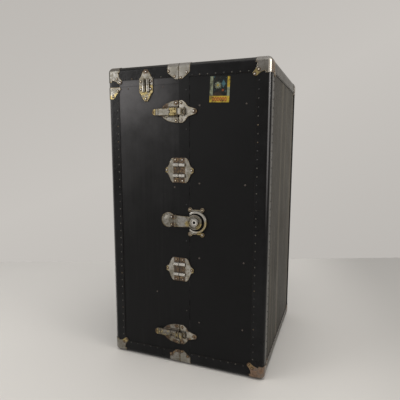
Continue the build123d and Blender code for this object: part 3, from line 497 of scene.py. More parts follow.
def plated(
    name, brass=0.2, rust=0.3, shine=1.0, rough=0.30, clouds=1.0, corner=False,
    brassy=(), rusty=(), grimy=(), clean=(), proud=None,
):
    """Nickel plate over brass and steel, with golden rims, rust at edges, dust on top, and dirt and painted
    shade in corners.

    Brassy, rusty, grimy and clean list marks. Grimy marks are dark joints and painted shade; clean marks take
    dirt and painted shade away. What stands in front of the proud level is rubbed bright.
    """
    paint = colours()
    f = Finish(name)
    cloud = f.noise(42, 4, 0.6, shift=0.4)
    blotch = f.noise(150, 4, 0.68, shift=2.2)
    wear = f.noise(95, 5, 0.68, shift=6.0, twist=0.4)
    edge = f.edges(0.0050)
    marked = f.marks(brassy, 0.35) if brassy else 0.0
    raised = f.band(f.at("Y"), proud, proud - 0.002) if proud else 0.0
    raised = raised * (1.0 - marked * 0.8)

    # The plate itself, bright and dull.
    dull, dark = tint(paint.nickel_dull, shine), tint(paint.tan, shine)
    f.base = f.mix(f.band(cloud * 0.55 + blotch * 0.45, 0.40, 0.60) * clouds, tint(paint.nickel, shine), dull)
    f.lay(f.band(blotch, 0.56, 0.72) * (0.55 * clouds), tint(dark, 0.8))
    sheen = f.noise(23, 2, 0.4, shift=5.5)
    f.lay(f.band(sheen, 0.44, 0.58) * 0.45, dull)

    # Brass shows where the plate is thin, and tan where it is rubbed.
    golden = f.mix(f.band(blotch, 0.38, 0.62), paint.brass, tint(paint.brass, 0.58))
    thin = f.band(wear, 0.78 - 0.50 * brass, 0.98 - 0.50 * brass) * min(1.0, brass * 2.2)
    rim = f.band(edge * 0.75 + (wear - 0.5) * 1.1 + brass * 0.5, 0.52, 0.86) * 0.8
    thin = f.largest(thin, rim * (1.0 - raised))
    if brassy:
        thin = f.largest(thin, marked * 0.9)
    f.lay(f.clamped(thin), golden)
    rubbed = f.band(edge * 0.60 + (blotch - 0.5) * 1.5 + rust * 0.35, 0.50, 0.86) * (1.0 - raised * 0.7)
    f.lay(rubbed * 0.8, tint(dark, 0.75))

    # Rust eats in from the edges and in flecks.
    pitted = f.noise(170, 5, 0.72, shift=8.0)
    eaten = f.band(edge * 0.55 + (pitted - 0.5) * 1.9 + rust * 0.55, 0.66, 0.92)
    if rusty:
        eaten = f.largest(eaten, f.marks(rusty, 0.75, 0.002) * 0.94)
    flecks = f.band(f.noise(260, 4, 0.7, shift=12.0), 0.80 - 0.22 * rust, 0.88 - 0.22 * rust)
    eaten = f.clamped(eaten * 0.95 + flecks * 0.6) * (1.0 - raised * 0.92)
    crust = f.noise(150, 5, 0.74, shift=3.3)
    scale = f.mix(f.band(crust, 0.43, 0.53), tint(paint.rust, 0.45), paint.rust)
    scale = f.mix(f.band(crust, 0.53, 0.62), scale, paint.tan)
    f.lay(eaten, scale)
    f.lay(raised * 0.8, tuple(min(0.8, v * 1.35 * shine) for v in paint.nickel))
    if corner:
        # A corner cap gets a painted highlight on its upper rounding, and is coppery below and at the side.
        high = f.band(f.at("Z"), 0.3, 0.7)
        sideways = f.band(f.toward("X"), 0.74, 0.88)
        painted_highlight = f.band(f.across(), 0.22, 0.42) * high * (1.0 - sideways) * 0.8
        f.lay(painted_highlight, (0.80, 0.75, 0.67))
        coppery = f.largest(1.0 - high, sideways * 0.75) * f.band(blotch, 0.72, 0.40)
        f.lay(coppery * 0.8, (0.225, 0.135, 0.088))

    # Dust on top; dirt and painted shade in corners, and dark joints and painted shade where marked.
    dusty = f.band(f.toward("Z"), 0.12, 0.60) * (1.0 - raised * 0.6)
    f.lay(dusty * 0.85, paint.top_dust)
    dirt = f.corners(0.0042) * (1.0 - raised * 0.5)
    if clean:
        dirt = dirt * (1.0 - f.marks(clean, 0.3) * 0.85)
    if grimy:
        dirt = f.largest(dirt, f.marks(grimy, 0.3))
    f.lay(dirt * 0.94, paint.grime_and_shade)
    f.relief(blotch * 0.25 + wear * 0.5 + sheen * 4.0 - eaten * 0.35 + crust * eaten * 0.6, 0.0006, 0.45)
    roughness = rough + cloud * 0.14 + eaten * 0.30 + dirt * 0.2 + dusty * 0.25 - raised * 0.14
    metallic = 1.0 - eaten * 0.75 - dirt * 0.7 - dusty * 0.85
    return f.end(roughness=f.clamped(roughness), metallic=f.clamped(metallic))


def wood(name, shade, along, gloss=0.38):
    """Stained or varnished wood with its grain along one axis, darker where it was handled, with painted
    shade in corners.
    """
    f = Finish(name, {"Coat Weight": 0.25, "Coat Roughness": 0.25})
    stretch = tuple(0.07 if axis == along else 1.0 for axis in "XYZ")
    pores = f.noise(230, 5, 0.7, stretch=stretch)
    streak = f.noise(34, 5, 0.6, stretch=stretch, shift=2.0, twist=0.3)
    figure = f.noise(9, 3, 0.5, stretch=stretch, shift=4.0, twist=0.3)
    rings = (f.sum("SINE", figure * 60.0) * 0.5 + 0.5) ** 2.0
    f.base = f.mix(f.clamped(rings * 0.50 + (streak - 0.5) * 1.8 + 0.1), shade, tint(shade, 0.40))
    f.lay(f.band(pores, 0.60, 0.75) * 0.6, tint(shade, 0.35))
    handled = f.band(f.noise(11, 5, 0.65, shift=9.0), 0.56, 0.80)
    f.lay(handled * 0.5, tint(shade, 0.35))
    # Painted shade in the corners.
    f.lay(f.corners(0.008) * 0.7, tint(shade, 0.18))
    f.relief(streak * 0.5 + pores * 0.6, 0.0004, 0.4)
    return f.end(roughness=f.clamped(gloss + (pores - 0.5) * 0.3 + handled * 0.2))


def printed_paper(name):
    """Faded lining paper with a small lattice of leaves and dots."""
    paint = colours()
    f = Finish(name, {"Specular IOR Level": 0.25})
    cell = 26 * MM
    lattice, finer = (f.lattice(cell / finer) for finer in (1, 3))
    lines = f.band(f.away(lattice, 1.0), 0.16, 0.07)
    dots = f.band(lattice + finer * 0.55, 3.55, 3.85)
    leaves = f.band(lattice - finer * 0.9, 3.10, 3.35)
    cloud = f.noise(6, 5, 0.6)
    printed = f.clamped(lines * 0.55 + dots + leaves * 0.8)
    f.base = f.mix(printed * 0.9, paint.lining, paint.lining_print)
    f.lay(f.band(cloud, 0.45, 0.75) * 0.45, tint(paint.lining, 0.55))
    foxing = f.band(f.noise(60, 4, 0.7, shift=5.0), 0.70, 0.80)
    f.lay(foxing * 0.5, (0.20, 0.12, 0.06))
    f.relief(f.noise(90, 3, 0.6) + f.noise(12, 2, 0.5), 0.0006, 0.35)
    return f.end(roughness=0.78)


def made(name, maker, *args, **options):
    """The finish of that name, made the first time it is asked for."""
    return bpy.data.materials.get(name) or maker(name, *args, **options)


def new_object(name, mesh):
    """A new object at the origin, whose place is in its mesh."""
    piece = bpy.data.objects.new(name, mesh)
    bpy.context.scene.collection.objects.link(piece)
    return piece


def cover(material, *nodes):
    """Gives frame nodes a finish through their own material slots."""
    for node in nodes:
        slots = NODES[node].material_slots
        if not slots:
            NODES[node].data.materials.append(material)
        for slot in slots:
            slot.material = material


# Angles between faces under which they merge, and over which the shading breaks and the edge is rounded.
MERGED, SHARP, ROUNDED = (math.radians(degrees) for degrees in (1.5, 75, 38))


def softened(node, material, width=None):
    """A copy of a frame node with soft edges, riding on the same body and standing for the node."""
    source = NODES[node]
    work = bmesh.new()
    work.from_mesh(source.data)
    bmesh.ops.remove_doubles(work, verts=work.verts, dist=0.00001)
    bmesh.ops.dissolve_limit(
        work, angle_limit=MERGED, verts=work.verts, edges=work.edges, use_dissolve_boundaries=False
    )
    mesh = bpy.data.meshes.new("worn_" + node)
    work.to_mesh(mesh)
    work.free()
    for name in [a.name for a in mesh.attributes if a.name.startswith(("custom_normal", "sharp_face"))]:
        mesh.attributes.remove(mesh.attributes[name])
    piece = new_object("worn_" + node, mesh)
    mesh.materials.clear()
    mesh.materials.append(material)
    mesh.shade_smooth()
    mesh.set_sharp_from_angle(angle=SHARP)
    bevel = piece.modifiers.new("Soft edges", "BEVEL")
    bevel.width = width or sizes().edge_softness
    bevel.segments = 2
    bevel.limit_method = "ANGLE"
    bevel.angle_limit = ROUNDED
    bevel.use_clamp_overlap = True
    level = piece.modifiers.new("Flat faces", "WEIGHTED_NORMAL")
    level.weight, level.keep_sharp = 80, False
    settle(piece)
    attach(piece, source["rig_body"])
    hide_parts(node)


def plate(node, name, **measures):
    """Softens a plated fitting and gives it a finish of its own."""
    softened(node, plated(name, **measures))


def settle(piece):
    """Turns an object's modifiers into its own plain mesh."""
    view = bpy.context.evaluated_depsgraph_get()
    flat = bpy.data.meshes.new_from_object(piece.evaluated_get(view), depsgraph=view)
    piece.modifiers.clear()
    old = piece.data
    piece.data = flat
    bpy.data.meshes.remove(old)


# ---- nails and rivets ----------------------------------------------------------------------------------
FRONT, BACK = Vector((0, -1, 0)), Vector((0, 1, 0))
LEFT, RIGHT = Vector((-1, 0, 0)), Vector((1, 0, 0))
UP, DOWN = Vector((0, 0, 1)), Vector((0, 0, -1))


class StudBench(Bench):
    """A Geometry Nodes tree being made, with named inputs."""

    def __init__(self, name, inputs):
        super().__init__(bpy.data.node_groups.new(name, "GeometryNodeTree"))
        face = self.tree.interface
        face.new_socket("Geometry", in_out="INPUT", socket_type="NodeSocketGeometry")
        self.keys = {}
        for label, (kind, value) in inputs.items():
            socket = face.new_socket(label, in_out="INPUT", socket_type=kind)
            if value is not None:
                socket.default_value = value
            self.keys[label] = socket.identifier
        face.new_socket("Geometry", in_out="OUTPUT", socket_type="NodeSocketGeometry")
        self.start = self.tree.nodes.new("NodeGroupInput")
        self.stop = self.tree.nodes.new("NodeGroupOutput")

    def given(self, label):
        return Wire(self, self.start.outputs[label])

    def vector(self, x, y, z):
        return self.node("ShaderNodeCombineXYZ", None, {"X": x, "Y": y, "Z": z})

    def store(self, geometry, name, value, domain):
        settings = {"data_type": "FLOAT", "domain": domain}
        values = {"Geometry": geometry, "Name": name, "Value": value}
        return self.node("GeometryNodeStoreNamedAttribute", settings, values)

    def chance(self, low, high, seed):
        ends = {2: low, 3: high, "Seed": seed}
        return self.node("FunctionNodeRandomValue", {"data_type": "FLOAT"}, ends, 1)


def stud_tree(name, spaced, ringed=False):
    """Domed heads on a mesh's points, or spaced along its edges, with a ring of dirt and painted shade round
    each if wanted.
    """
    inputs = {
        "Head radius": ("NodeSocketFloat", 2.0 * MM),
        "Head height": ("NodeSocketFloat", 1.0 * MM),
        "Seed": ("NodeSocketInt", 1),
        "Finish": ("NodeSocketMaterial", None),
    }
    if spaced:
        inputs["Pitch"] = ("NodeSocketFloat", 25.4 * MM)
    bench = StudBench(name, inputs)
    points, radius = bench.given("Geometry"), bench.given("Head radius")
    if spaced:
        rows = bench.node("GeometryNodeMeshToCurve", None, {"Mesh": points})
        pitch = {"Curve": rows, "Length": bench.given("Pitch")}
        points = bench.node("GeometryNodeResampleCurve", {"mode": "LENGTH"}, pitch)
    ball = bench.node("GeometryNodeMeshUVSphere", None, {"Segments": 10, "Rings": 6, "Radius": 1.0})
    size = bench.vector(radius, radius, bench.given("Head height"))
    head = bench.node("GeometryNodeTransform", None, {"Geometry": ball, "Scale": size})
    head = bench.node("GeometryNodeSetShadeSmooth", None, {"Geometry": head})
    if ringed:
        # The ring is a dark skirt of dirt and painted shade under each head.
        shape = {"Vertices": 14, "Radius Top": 1.1, "Radius Bottom": 1.5, "Depth": 0.14}
        ring = bench.node("GeometryNodeMeshCone", None, shape)
        spread = {"Geometry": ring, "Scale": bench.vector(radius, radius, MM)}
        ring = bench.node("GeometryNodeTransform", None, spread)
        ring = bench.store(ring, "ring", 1.0, "POINT")
        both = bench.node("GeometryNodeJoinGeometry")
        for part in (head, ring):
            bench.tree.links.new(part.socket, both.socket.node.inputs[0])
        head = both
    facing = bench.node("GeometryNodeInputNamedAttribute", {"data_type": "FLOAT_VECTOR"}, {"Name": "facing"})
    turn = bench.node("FunctionNodeAlignRotationToVector", {"axis": "Z"}, {"Vector": facing})
    swell = bench.chance(0.88, 1.08, bench.given("Seed"))
    setting = {"Points": points, "Instance": head, "Rotation": turn, "Scale": swell}
    placed = bench.node("GeometryNodeInstanceOnPoints", None, setting)
    placed = bench.store(placed, "chance", bench.chance(0.0, 1.0, 7), "INSTANCE")
    real = bench.node("GeometryNodeRealizeInstances", None, {"Geometry": placed})
    done = bench.node("GeometryNodeSetMaterial", None, {"Geometry": real, "Material": bench.given("Finish")})
    bench.tree.links.new(done.socket, bench.stop.inputs[0])
    return bench


def studs(name, body, bench, rows, radius, height, material, pitch=None):
    """Sets heads for one body. Rows are lists of (place, facing), joined by an edge when there are two."""
    mesh = bpy.data.meshes.new(name)
    points, edges, facings = [], [], []
    for row in rows:
        if len(row) == 2:
            edges.append((len(points), len(points) + 1))
        for place, facing in row:
            points.append(place)
            facings.append(facing)
    mesh.from_pydata(points, edges, [])
    turn = mesh.attributes.new("facing", "FLOAT_VECTOR", "POINT")
    turn.data.foreach_set("vector", [v for facing in facings for v in facing])
    piece = new_object(name, mesh)
    layer = piece.modifiers.new("Studs", "NODES")
    layer.node_group = bench.tree
    given = {"Head radius": radius, "Head height": height, "Seed": len(points), "Finish": material}
    if pitch:
        given["Pitch"] = pitch
    for label, value in given.items():
        layer[bench.keys[label]] = value
    settle(piece)
    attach(piece, body)


def dome_top(f):
    """1 on the middle of a head, whichever way it faces, 0 at its rim."""
    along = [f.away(f.toward(axis)) for axis in "XYZ"]
    return f.band(f.largest(*along), 0.78, 0.95)


def nail_finish(name):
    """Small nail heads, black where painted and pale where rubbed."""
    paint = colours()
    f = Finish(name)
    chance = f.attribute("chance")
    side = f.band(f.toward("X"), 0.4, 0.8)
    spot = f.noise(900, 3, 0.6)
    bare = f.band(chance + (spot - 0.5) * 0.4 - side * 0.9, 0.30, 0.95) * dome_top(f)
    bare = f.largest(bare, f.band(f.at("X"), -0.20, -0.25) * dome_top(f) * 0.6)
    browned = (0.150, 0.105, 0.058)
    metal = f.mix(f.band(chance, 0.86, 0.96), tint(paint.nickel_dull, 0.6), browned)
    f.base = f.mix(bare, tint(paint.binding, 0.7), metal)
    f.relief(spot, 0.0003, 0.5)
    return f.end(roughness=f.clamped(0.34 + spot * 0.2), metallic=bare * 0.85)


def rivet_finish(name):
    """Rivet heads, rubbed bright on top and dark at the rim, in a ring of old dirt and painted shade."""
    paint = colours()
    f = Finish(name)
    chance = f.attribute("chance")
    ring = f.attribute("ring")
    spot = f.noise(520, 4, 0.65)
    low = f.band(f.at("Z"), 0.60, 0.10)
    tone = f.mix(f.band(chance, 0.3, 0.9) * 0.5, tint(paint.nickel, 1.3), paint.brass)
    tone = f.mix(low * 0.75, tone, paint.tan)
    # The ring round each head is dirt and painted shade.
    worn = f.clamped(dome_top(f) - f.band(spot, 0.55, 0.75) * 0.5) * (1.0 - ring)
    f.base = f.mix(worn, tint(paint.rust, 0.75), tone)
    f.relief(spot, 0.0004, 0.4)
    return f.end(roughness=f.clamped(0.62 - worn * 0.38), metallic=f.clamped(0.20 + worn * 0.80))


def board_rivet_finish(name):
    """Red-brown heads on the open boards."""
    paint = colours()
    f = Finish(name)
    spot = f.noise(620, 4, 0.65)
    red_brown = (0.050, 0.026, 0.022)
    f.base = f.mix(f.band(spot, 0.35, 0.65), red_brown, tint(paint.nickel_dull, 0.34))
    f.relief(spot, 0.0004, 0.5)
    return f.end(roughness=0.5, metallic=f.clamped(f.band(spot, 0.5, 0.7) * 0.7))


def line(a, b, facing):
    """A row of heads from one place to another."""
    return [(Vector(a), facing), (Vector(b), facing)]


def shell_rows(low, high, x_near, outer, floor=True, roof=True, hang=None):
    """Nail rows round one half: its front, back, outer side, top and bottom.

    The rows along the ends start at x_near. Outer is 1 for the right half and -1 for the left. Upright rows
    stop at the height that hang gives, or else below the top caps.
    """
    x_out, side = (high.x, RIGHT) if outer > 0 else (low.x, LEFT)
    x_row = x_out - outer * NAIL_INSET
    x_far = x_out - outer * CAP_REACH
    top, bottom = high.z - END_INSET, low.z + END_INSET
    reach_top, reach_bottom = hang or high.z - CAP_REACH, low.z + CAP_REACH
    y_row, y_cap = high.y - NAIL_INSET, high.y - CAP_REACH
    rows = []
    for y, facing in ((low.y, FRONT), (high.y, BACK)):
        if floor:
            rows.append(line((x_row, y, reach_bottom), (x_row, y, reach_top), facing))
            rows.append(line((x_near, y, bottom), (x_far, y, bottom), facing))
        if roof:
            rows.append(line((x_near, y, top), (x_far, y, top), facing))
    if floor:
        for y in (-y_row, y_row):
            rows.append(line((x_out, y, reach_bottom), (x_out, y, reach_top), side))
        rows.append(line((x_out, -y_cap, bottom), (x_out, y_cap, bottom), side))
    if roof:
        rows.append(line((x_out, -y_cap, top), (x_out, y_cap, top), side))
    for z, facing, present in ((high.z, UP, roof), (low.z, DOWN, floor)):
        if present:
            for y in (-y_row, y_row):
                rows.append(line((x_near, y, z), (x_far, y, z), facing))
            rows.append(line((x_row, -y_cap, z), (x_row, y_cap, z), facing))
    return rows


def one(x, y, z, facing):
    """A single head."""
    return [(Vector((x, y, z)), facing)]


def corner_heads(outer, high):
    """Two heads on each face of the two caps at the top or the bottom of one half, but none underneath."""
    x_side, side = (CAP_HIGH.x, RIGHT) if outer > 0 else (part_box("left_corner_caps")[0].x, LEFT)
    z_cap, z_way = (TOP, -1) if high else (CAP_LOW.z, 1)
    rows = []
    for y_side, facing, y_way in ((CAP_LOW.y, FRONT, 1), (CAP_HIGH.y, BACK, -1)):
        for s in (39 * MM, 51 * MM):
            rows.append(one(x_side - outer * s, y_side, z_cap + z_way * s, facing))
            rows.append(one(x_side, y_side + y_way * s, z_cap + z_way * s, side))
            if high:
                rows.append(one(x_side - outer * s, y_side + y_way * s, z_cap, UP))
    return rows


def wrapped_heads(places, high):
    """Heads of the seam clamps, on the front and back and on the top or bottom.

    Places are (x, in from the edge) in millimetres.
    """
    rows = []
    for x, inward in places:
        x, inward = x * MM, inward * MM
        for y, facing, way in ((CAP_LOW.y, FRONT, 1), (CAP_HIGH.y, BACK, -1)):
            rows.append(one(x, y, TOP - inward if high else CAP_LOW.z + inward, facing))
            if high:
                rows.append(one(x, y + way * inward, TOP, UP))
    return rows


def front_heads(x, z, places):
    """Heads on a front fitting, across and up from its middle in millimetres."""
    return [one(x + dx * MM, PLATE_FRONT, z + dz * MM, FRONT) for dx, dz in places]


class TrunkOperator:
    """What every job on the trunk shares."""

    bl_options = {"REGISTER", "UNDO"}


class TRUNK_OT_studio(TrunkOperator, bpy.types.Operator):
    """Sets out the floor, the pale background, the lamps and the camera"""

    bl_idname = "trunk.studio"
    bl_label = "Studio"

    def execute(self, context):
        studio = context.scene.trunk_studio
        self.floor(studio)
        self.lamps(context)
        self.air(context, studio)
        self.camera(context, studio)
        context.scene.view_settings.view_transform = "Standard"
        return {"FINISHED"}

    def floor(self, studio):
        """A pale floor with its far edge square to the camera, with painted shade at the far right."""
        mesh = bpy.data.meshes.new("studio_floor")
        back_left, back_right = Vector((-3.04, -0.25, 0.0)), Vector((4.2, 2.87, 0.0))
        toward = Vector((0.395, -0.919, 0.0)) * 9.0  # to the camera and past it
        corners = [back_left, back_right, back_right + toward, back_left + toward]
        mesh.from_pydata(corners, [], [(3, 2, 1, 0)])
        floor = new_object("studio_floor", mesh)
        f = Finish("pale_floor", {"Specular IOR Level": 0.2})
        cloud = f.noise(1.1, 3, 0.5)
        f.base = f.mix(cloud, studio.floor, tint(studio.floor, 0.95))
        # Painted shade: darker towards the far right.
        far_right_shade = f.band(f.at("X") + f.at("Y") * 0.2, 0.40, 0.95)
        f.lay(far_right_shade, tint(studio.floor, 0.72))
        mesh.materials.append(f.end(roughness=0.65))
        mesh.update()

    def lamps(self, context):
        """Three soft lamps, each given by its place, aim, width, height, power and colour."""
        lamps = {
            "window_left": ((-2.3, -2.2, 1.75), (-0.1, 0.0, 0.75), 1.5, 1.7, 36.0, (1.0, 0.99, 0.97)),
            "window_right": ((2.7, -0.7, 2.1), (0.2, 0.0, 0.5), 1.3, 2.0, 21.0, (1.0, 0.97, 0.92)),
            "ceiling": ((0.3, -0.4, 3.3), (0.0, 0.0, 0.0), 2.6, 2.6, 62.0, (1.0, 0.99, 0.97)),
        }
        for name, (place, aim, wide, tall, power, tone) in lamps.items():
            light = bpy.data.lights.new(name, "AREA")
            light.shape, light.size, light.size_y = "RECTANGLE", wide, tall
            light.energy, light.color = power, tone
            lamp = bpy.data.objects.new(name, light)
            lamp.location = place
            lamp.rotation_euler = (Vector(aim) - Vector(place)).to_track_quat("-Z", "Y").to_euler()
            context.scene.collection.objects.link(lamp)

    def air(self, context, studio):
        """Even light all round, and a wall that shades off up, down and sideways where it is seen."""
        world = bpy.data.worlds.new("studio_air")
        context.scene.world = world
        world.use_nodes = True
        sky = Bench(world.node_tree)
        light = sky.tree.nodes["Background"]
        light.inputs["Color"].default_value = (0.86, 0.87, 0.88, 1.0)
        light.inputs["Strength"].default_value = 0.55
        heading = sky.node("ShaderNodeTexCoord", output="Generated")
        slope = sky.vectors("DOT_PRODUCT", heading, (-0.5, 0.0, 1.0), "Value")
        strength = 1.0 - sky.sum("ABSOLUTE", slope - 0.2) * 0.24
        wall = {"Color": (*studio.backdrop, 1.0), "Strength": strength}
        wall = sky.node("ShaderNodeBackground", None, wall)
        rays = sky.node("ShaderNodeLightPath", output="Is Camera Ray")
        shown = sky.largest(rays, rays.beside("Is Glossy Ray"), rays.beside("Is Transmission Ray"))
        blend = {0: shown, 1: Wire(sky, light.outputs[0]), 2: wall}
        blend = sky.node("ShaderNodeMixShader", None, blend)
        sky.tree.links.new(blend.socket, sky.tree.nodes["World Output"].inputs["Surface"])

    def camera(self, context, studio):
        data = bpy.data.cameras.new("camera")
        data.lens = studio.lens
        data.sensor_width = 36.0
        camera = bpy.data.objects.new("camera", data)
        turn = Matrix.Rotation(studio.camera_turn, 4, "Z")
        dip = Matrix.Rotation(math.pi / 2 - studio.camera_dip, 4, "X")
        roll = Matrix.Rotation(studio.camera_roll, 4, "Z")
        camera.matrix_world = Matrix.Translation(studio.camera_place) @ turn @ dip @ roll
        context.scene.collection.objects.link(camera)
        context.scene.camera = camera


class TRUNK_OT_boards(TrunkOperator, bpy.types.Operator):
    """Covers the boards of both halves and of the lid with painted cloth"""

    bl_idname = "trunk.boards"
    bl_label = "Boards"

    def execute(self, context):
        # The left half and the lid get faded paint with a painted sheen on their upper part.
        right = made("painted_cloth_right", cloth_cover, faded=0.05, dust=1.0, streaks=0.9)
        left = made("painted_cloth_left", cloth_cover, faded=0.95, streaks=0.4)
        for half, finish, faces in (
            ("right", right, ("front", "back", "top", "bottom", "side")),
            ("left", left, ("front", "back", "bottom", "side")),
        ):
            cover(finish, *(f"{half}_{face}_panel" for face in faces))
        cover(left, "lid_top_panel", "lid_boards")
        return {"FINISHED"}


class TRUNK_OT_bindings(TrunkOperator, bpy.types.Operator):
    """Finishes the fibre bindings and the strip over the seam"""

    bl_idname = "trunk.bindings"
    bl_label = "Bindings"

    def execute(self, context):
        cover(made("fibre_dusty", fibre, dust=0.95), "right_edge_binding")
        cover(made("fibre_black", fibre), "left_edge_binding", "lid_edge_binding")
        cover(made("painted_cloth_strip", cloth_cover, faded=0.25, streaks=0.2), "right_seam_strip")
        return {"FINISHED"}


def stain(x, z, radius, y=PLATE_FRONT):
    """A round mark on the front."""
    return (x, y, z), radius


def stains(x, z, listed):
    """Round marks on a front fitting: across and up from its middle, and radius, in millimetres."""
    return [stain(x + dx * MM, z + dz * MM, radius * MM) for dx, dz, radius in listed]


class TRUNK_OT_caps(TrunkOperator, bpy.types.Operator):
    """Finishes the corner caps, the seam clamps and the rim clamps"""

    bl_idname = "trunk.caps"
    bl_label = "Caps and clamps"

    def execute(self, context):
        self.caps(CAP_HIGH.x, CAP_LOW.y)
        self.clamps(LEFT_LOW.x, CAP_LOW.y)
        return {"FINISHED"}

    def caps(self, edge, front):
        golden = [((edge, front + 0.040, TOP - 0.035), 0.024)]
        golden += [stain(edge - 0.050, TOP - 0.049, 0.014, front), stain(edge - 0.044, 0.050, 0.014, front)]
        rusty = [stain(edge - 0.034, 0.018, 0.015, front), stain(edge - 0.008, 0.034, 0.010, front)]
        rusty += [((edge + 0.002, front + 0.026, TOP - 0.030), 0.015)]
        rusty += [stain(edge - 0.056, TOP - 0.018, 0.010, front)]
        plate(
            "right_corner_caps", "cap_plate_right", brass=0.22, rust=0.22, shine=0.55, rough=0.17,
            clouds=0.45, corner=True, brassy=golden, rusty=rusty,
        )
        ear = [stain(LEFT_LOW.x + 0.042, 0.052, 0.013, front)]
        plate("left_corner_caps", "cap_plate_left", brass=0.22, rust=0.40, shine=0.73, brassy=ear)
        plate("lid_corner_caps", "cap_plate_lid", brass=0.14, rust=0.32, shine=0.42, rough=0.24)

    def clamps(self, edge, front):
        ragged = [
            stain(SEAM + dx, z, radius, front)
            for dx, z, radius in ((0.0, 0.052, 0.013), (-0.034, 0.036, 0.012), (0.032, 0.040, 0.009))
        ]
        joint = 0.0011  # half the width of the dark line between the two halves
        dark = [(SEAM - joint, SEAM + joint)]
        plate(
            "right_seam_clamps", "clamp_plate_right", brass=0.12, rust=0.26, shine=0.82, rough=0.24,
            clouds=0.45, rusty=ragged, grimy=dark,
        )
        plate("left_seam_clamps", "clamp_plate_left", brass=0.15, rust=0.42, shine=0.66, rusty=ragged)
        plate(
            "lid_seam_clamps", "clamp_plate_lid", brass=0.05, rust=0.16, shine=0.86, rough=0.20, clouds=0.35,
            grimy=dark,
        )
        foot = LID_SEAM - 0.038
        warm = [stain(edge + 0.012, foot, 0.012, front), stain(edge + 0.035, foot + 0.008, 0.011, front)]
        plate("left_rim_clamps", "rim_clamp_plate", brass=0.26, rust=0.25, shine=0.62, brassy=warm)


def dowel_heights():
    """The middles of the lower and the upper dowel fitting."""
    low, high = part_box("dowel_plates_left")
    return low.z + DOWEL_HALF, high.z - DOWEL_HALF


class TRUNK_OT_dowels(TrunkOperator, bpy.types.Operator):
    """Finishes the dowel plates of the seam and of the lid"""

    bl_idname = "trunk.dowels"
    bl_label = "Dowel plates"

    def execute(self, context):
        barrels = PLATE_FRONT - 0.0012  # the level in front of which the barrels are rubbed bright
        ears = [stain(SEAM + dx, z, 0.011) for z in dowel_heights() for dx in (-0.050, 0.052)]
        joint = 0.0014  # half the width of the dark line between the two plates
        for half, shine in (("left", 0.90), ("right", 1.0)):
            plate(
                "dowel_plates_" + half, "dowel_plate_" + half, brass=0.24, rust=0.34, shine=shine, rough=0.26,
                brassy=ears, rusty=[(SEAM - 0.020, SEAM + 0.021)], grimy=[(SEAM - joint, SEAM + joint)],
                proud=barrels,
            )
        ear = [stain(halfway("lid_dowel_plate", "x"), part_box("lid_dowel_plate")[1].z, 0.013)]
        plate("lid_dowel_plate", "lid_dowel_upper", brass=0.12, rust=0.36, shine=0.66, rough=0.30, rusty=ear)
        plate(
            "lid_dowel_socket", "lid_dowel_lower", brass=0.80, rust=0.34, shine=0.54, rough=0.26,
            proud=barrels,
        )
        return {"FINISHED"}


class TRUNK_OT_draw_bolts(TrunkOperator, bpy.types.Operator):
    """Finishes the two draw bolts: their bases, catches, levers and links"""

    bl_idname = "trunk.draw_bolts"
    bl_label = "Draw bolts"

    def execute(self, context):
        heights = [halfway("draw_lever_" + place, "z") for place in ("top", "bottom")]
        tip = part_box("draw_lever_top")[0]
        self.bases(*heights)
        self.levers(tip, *heights)
        return {"FINISHED"}

    def bases(self, z_top, z_bottom):
        heights = (z_top, z_bottom)
        rusty = stains(SEAM, z_top, ((-50, 17, 15), (-58, -12, 7), (-9, 27, 7)))
        rusty += stains(SEAM, z_bottom, ((-48, 20, 12), (-48, -20, 12), (-18, -30, 10), (-12, 27, 8)))
        flank, groove = 0.0138, 0.0012  # from a lever's middle to its flanks, and half a groove's width
        grooves = [
            (SEAM - 0.036, SEAM, z + way * flank - groove, z + way * flank + groove)
            for z in heights
            for way in (-1, 1)
        ]
        block = [(SEAM - 0.029, SEAM - 0.004, z_top - 0.0115, z_top + 0.0115)]
        plate(
            "draw_bases", "draw_base_plate", brass=0.50, rust=0.40, shine=0.74,
            brassy=block, rusty=rusty, grimy=grooves, clean=block,
        )
        ears = stains(SEAM, z_top, ((57, 0, 8),))
        ears += stains(SEAM, z_bottom, ((57, 0, 9), (30, 20, 7), (8, -28, 12), (34, -14, 8)))
        # Painted shade in the slot beside each loop; the tooth in the loop gets less dirt and painted shade.
        shade = [(SEAM + 0.0192, SEAM + 0.0226, z - 0.0140, z + 0.0150) for z in heights]
        tooth = [(SEAM + 0.0060, SEAM + 0.0188, z - 0.0095, z + 0.0095) for z in heights]
        plate(
            "draw_catches", "draw_catch_plate", brass=0.30, rust=0.24, shine=1.2,
            rusty=ears, grimy=shade, clean=tooth,
        )

    def levers(self, tip, z_top, z_bottom):
        thumb = (tip.x, tip.x + 0.0115)
        block = (SEAM - 0.0290, SEAM - 0.0040)
        slot = (block[1], SEAM + 0.0005)
        # Darker in the gaps round the block and behind the thumb.
        gaps = [(SEAM - 0.0312, block[0]), slot, (thumb[1], thumb[1] + 0.0020)]
        plate(
            "draw_lever_top", "draw_lever_top_plate", brass=0.10, rust=0.12, shine=0.80, rough=0.26,
            clouds=0.8, brassy=[thumb, block], rusty=[stain(tip.x - 0.002, z_top, 0.011, tip.y)],
            grimy=gaps, clean=[thumb, block],
        )
        brown = [stain(tip.x - 0.001, z_bottom, 0.012, tip.y), stain(SEAM - 0.050, z_bottom, 0.007, tip.y)]
        plate(
            "draw_lever_bottom", "draw_lever_bottom_plate", brass=0.60, rust=0.42, shine=0.55,
            brassy=[thumb], rusty=brown, grimy=gaps,
        )
        # Painted shade in the slot behind the block and in the slot beside the loop.
        slots = [slot, (SEAM + 0.0200, SEAM + 0.0235)]
        loop = (SEAM + 0.0010, SEAM + 0.0195)
        plate(
            "draw_link_top", "draw_link_top_plate", brass=0.08, rust=0.14, shine=1.1,
            brassy=[block], grimy=slots, clean=[block, loop],
        )
        plate("draw_link_bottom", "draw_link_bottom_plate", brass=0.60, rust=0.42, shine=0.60, grimy=slots)


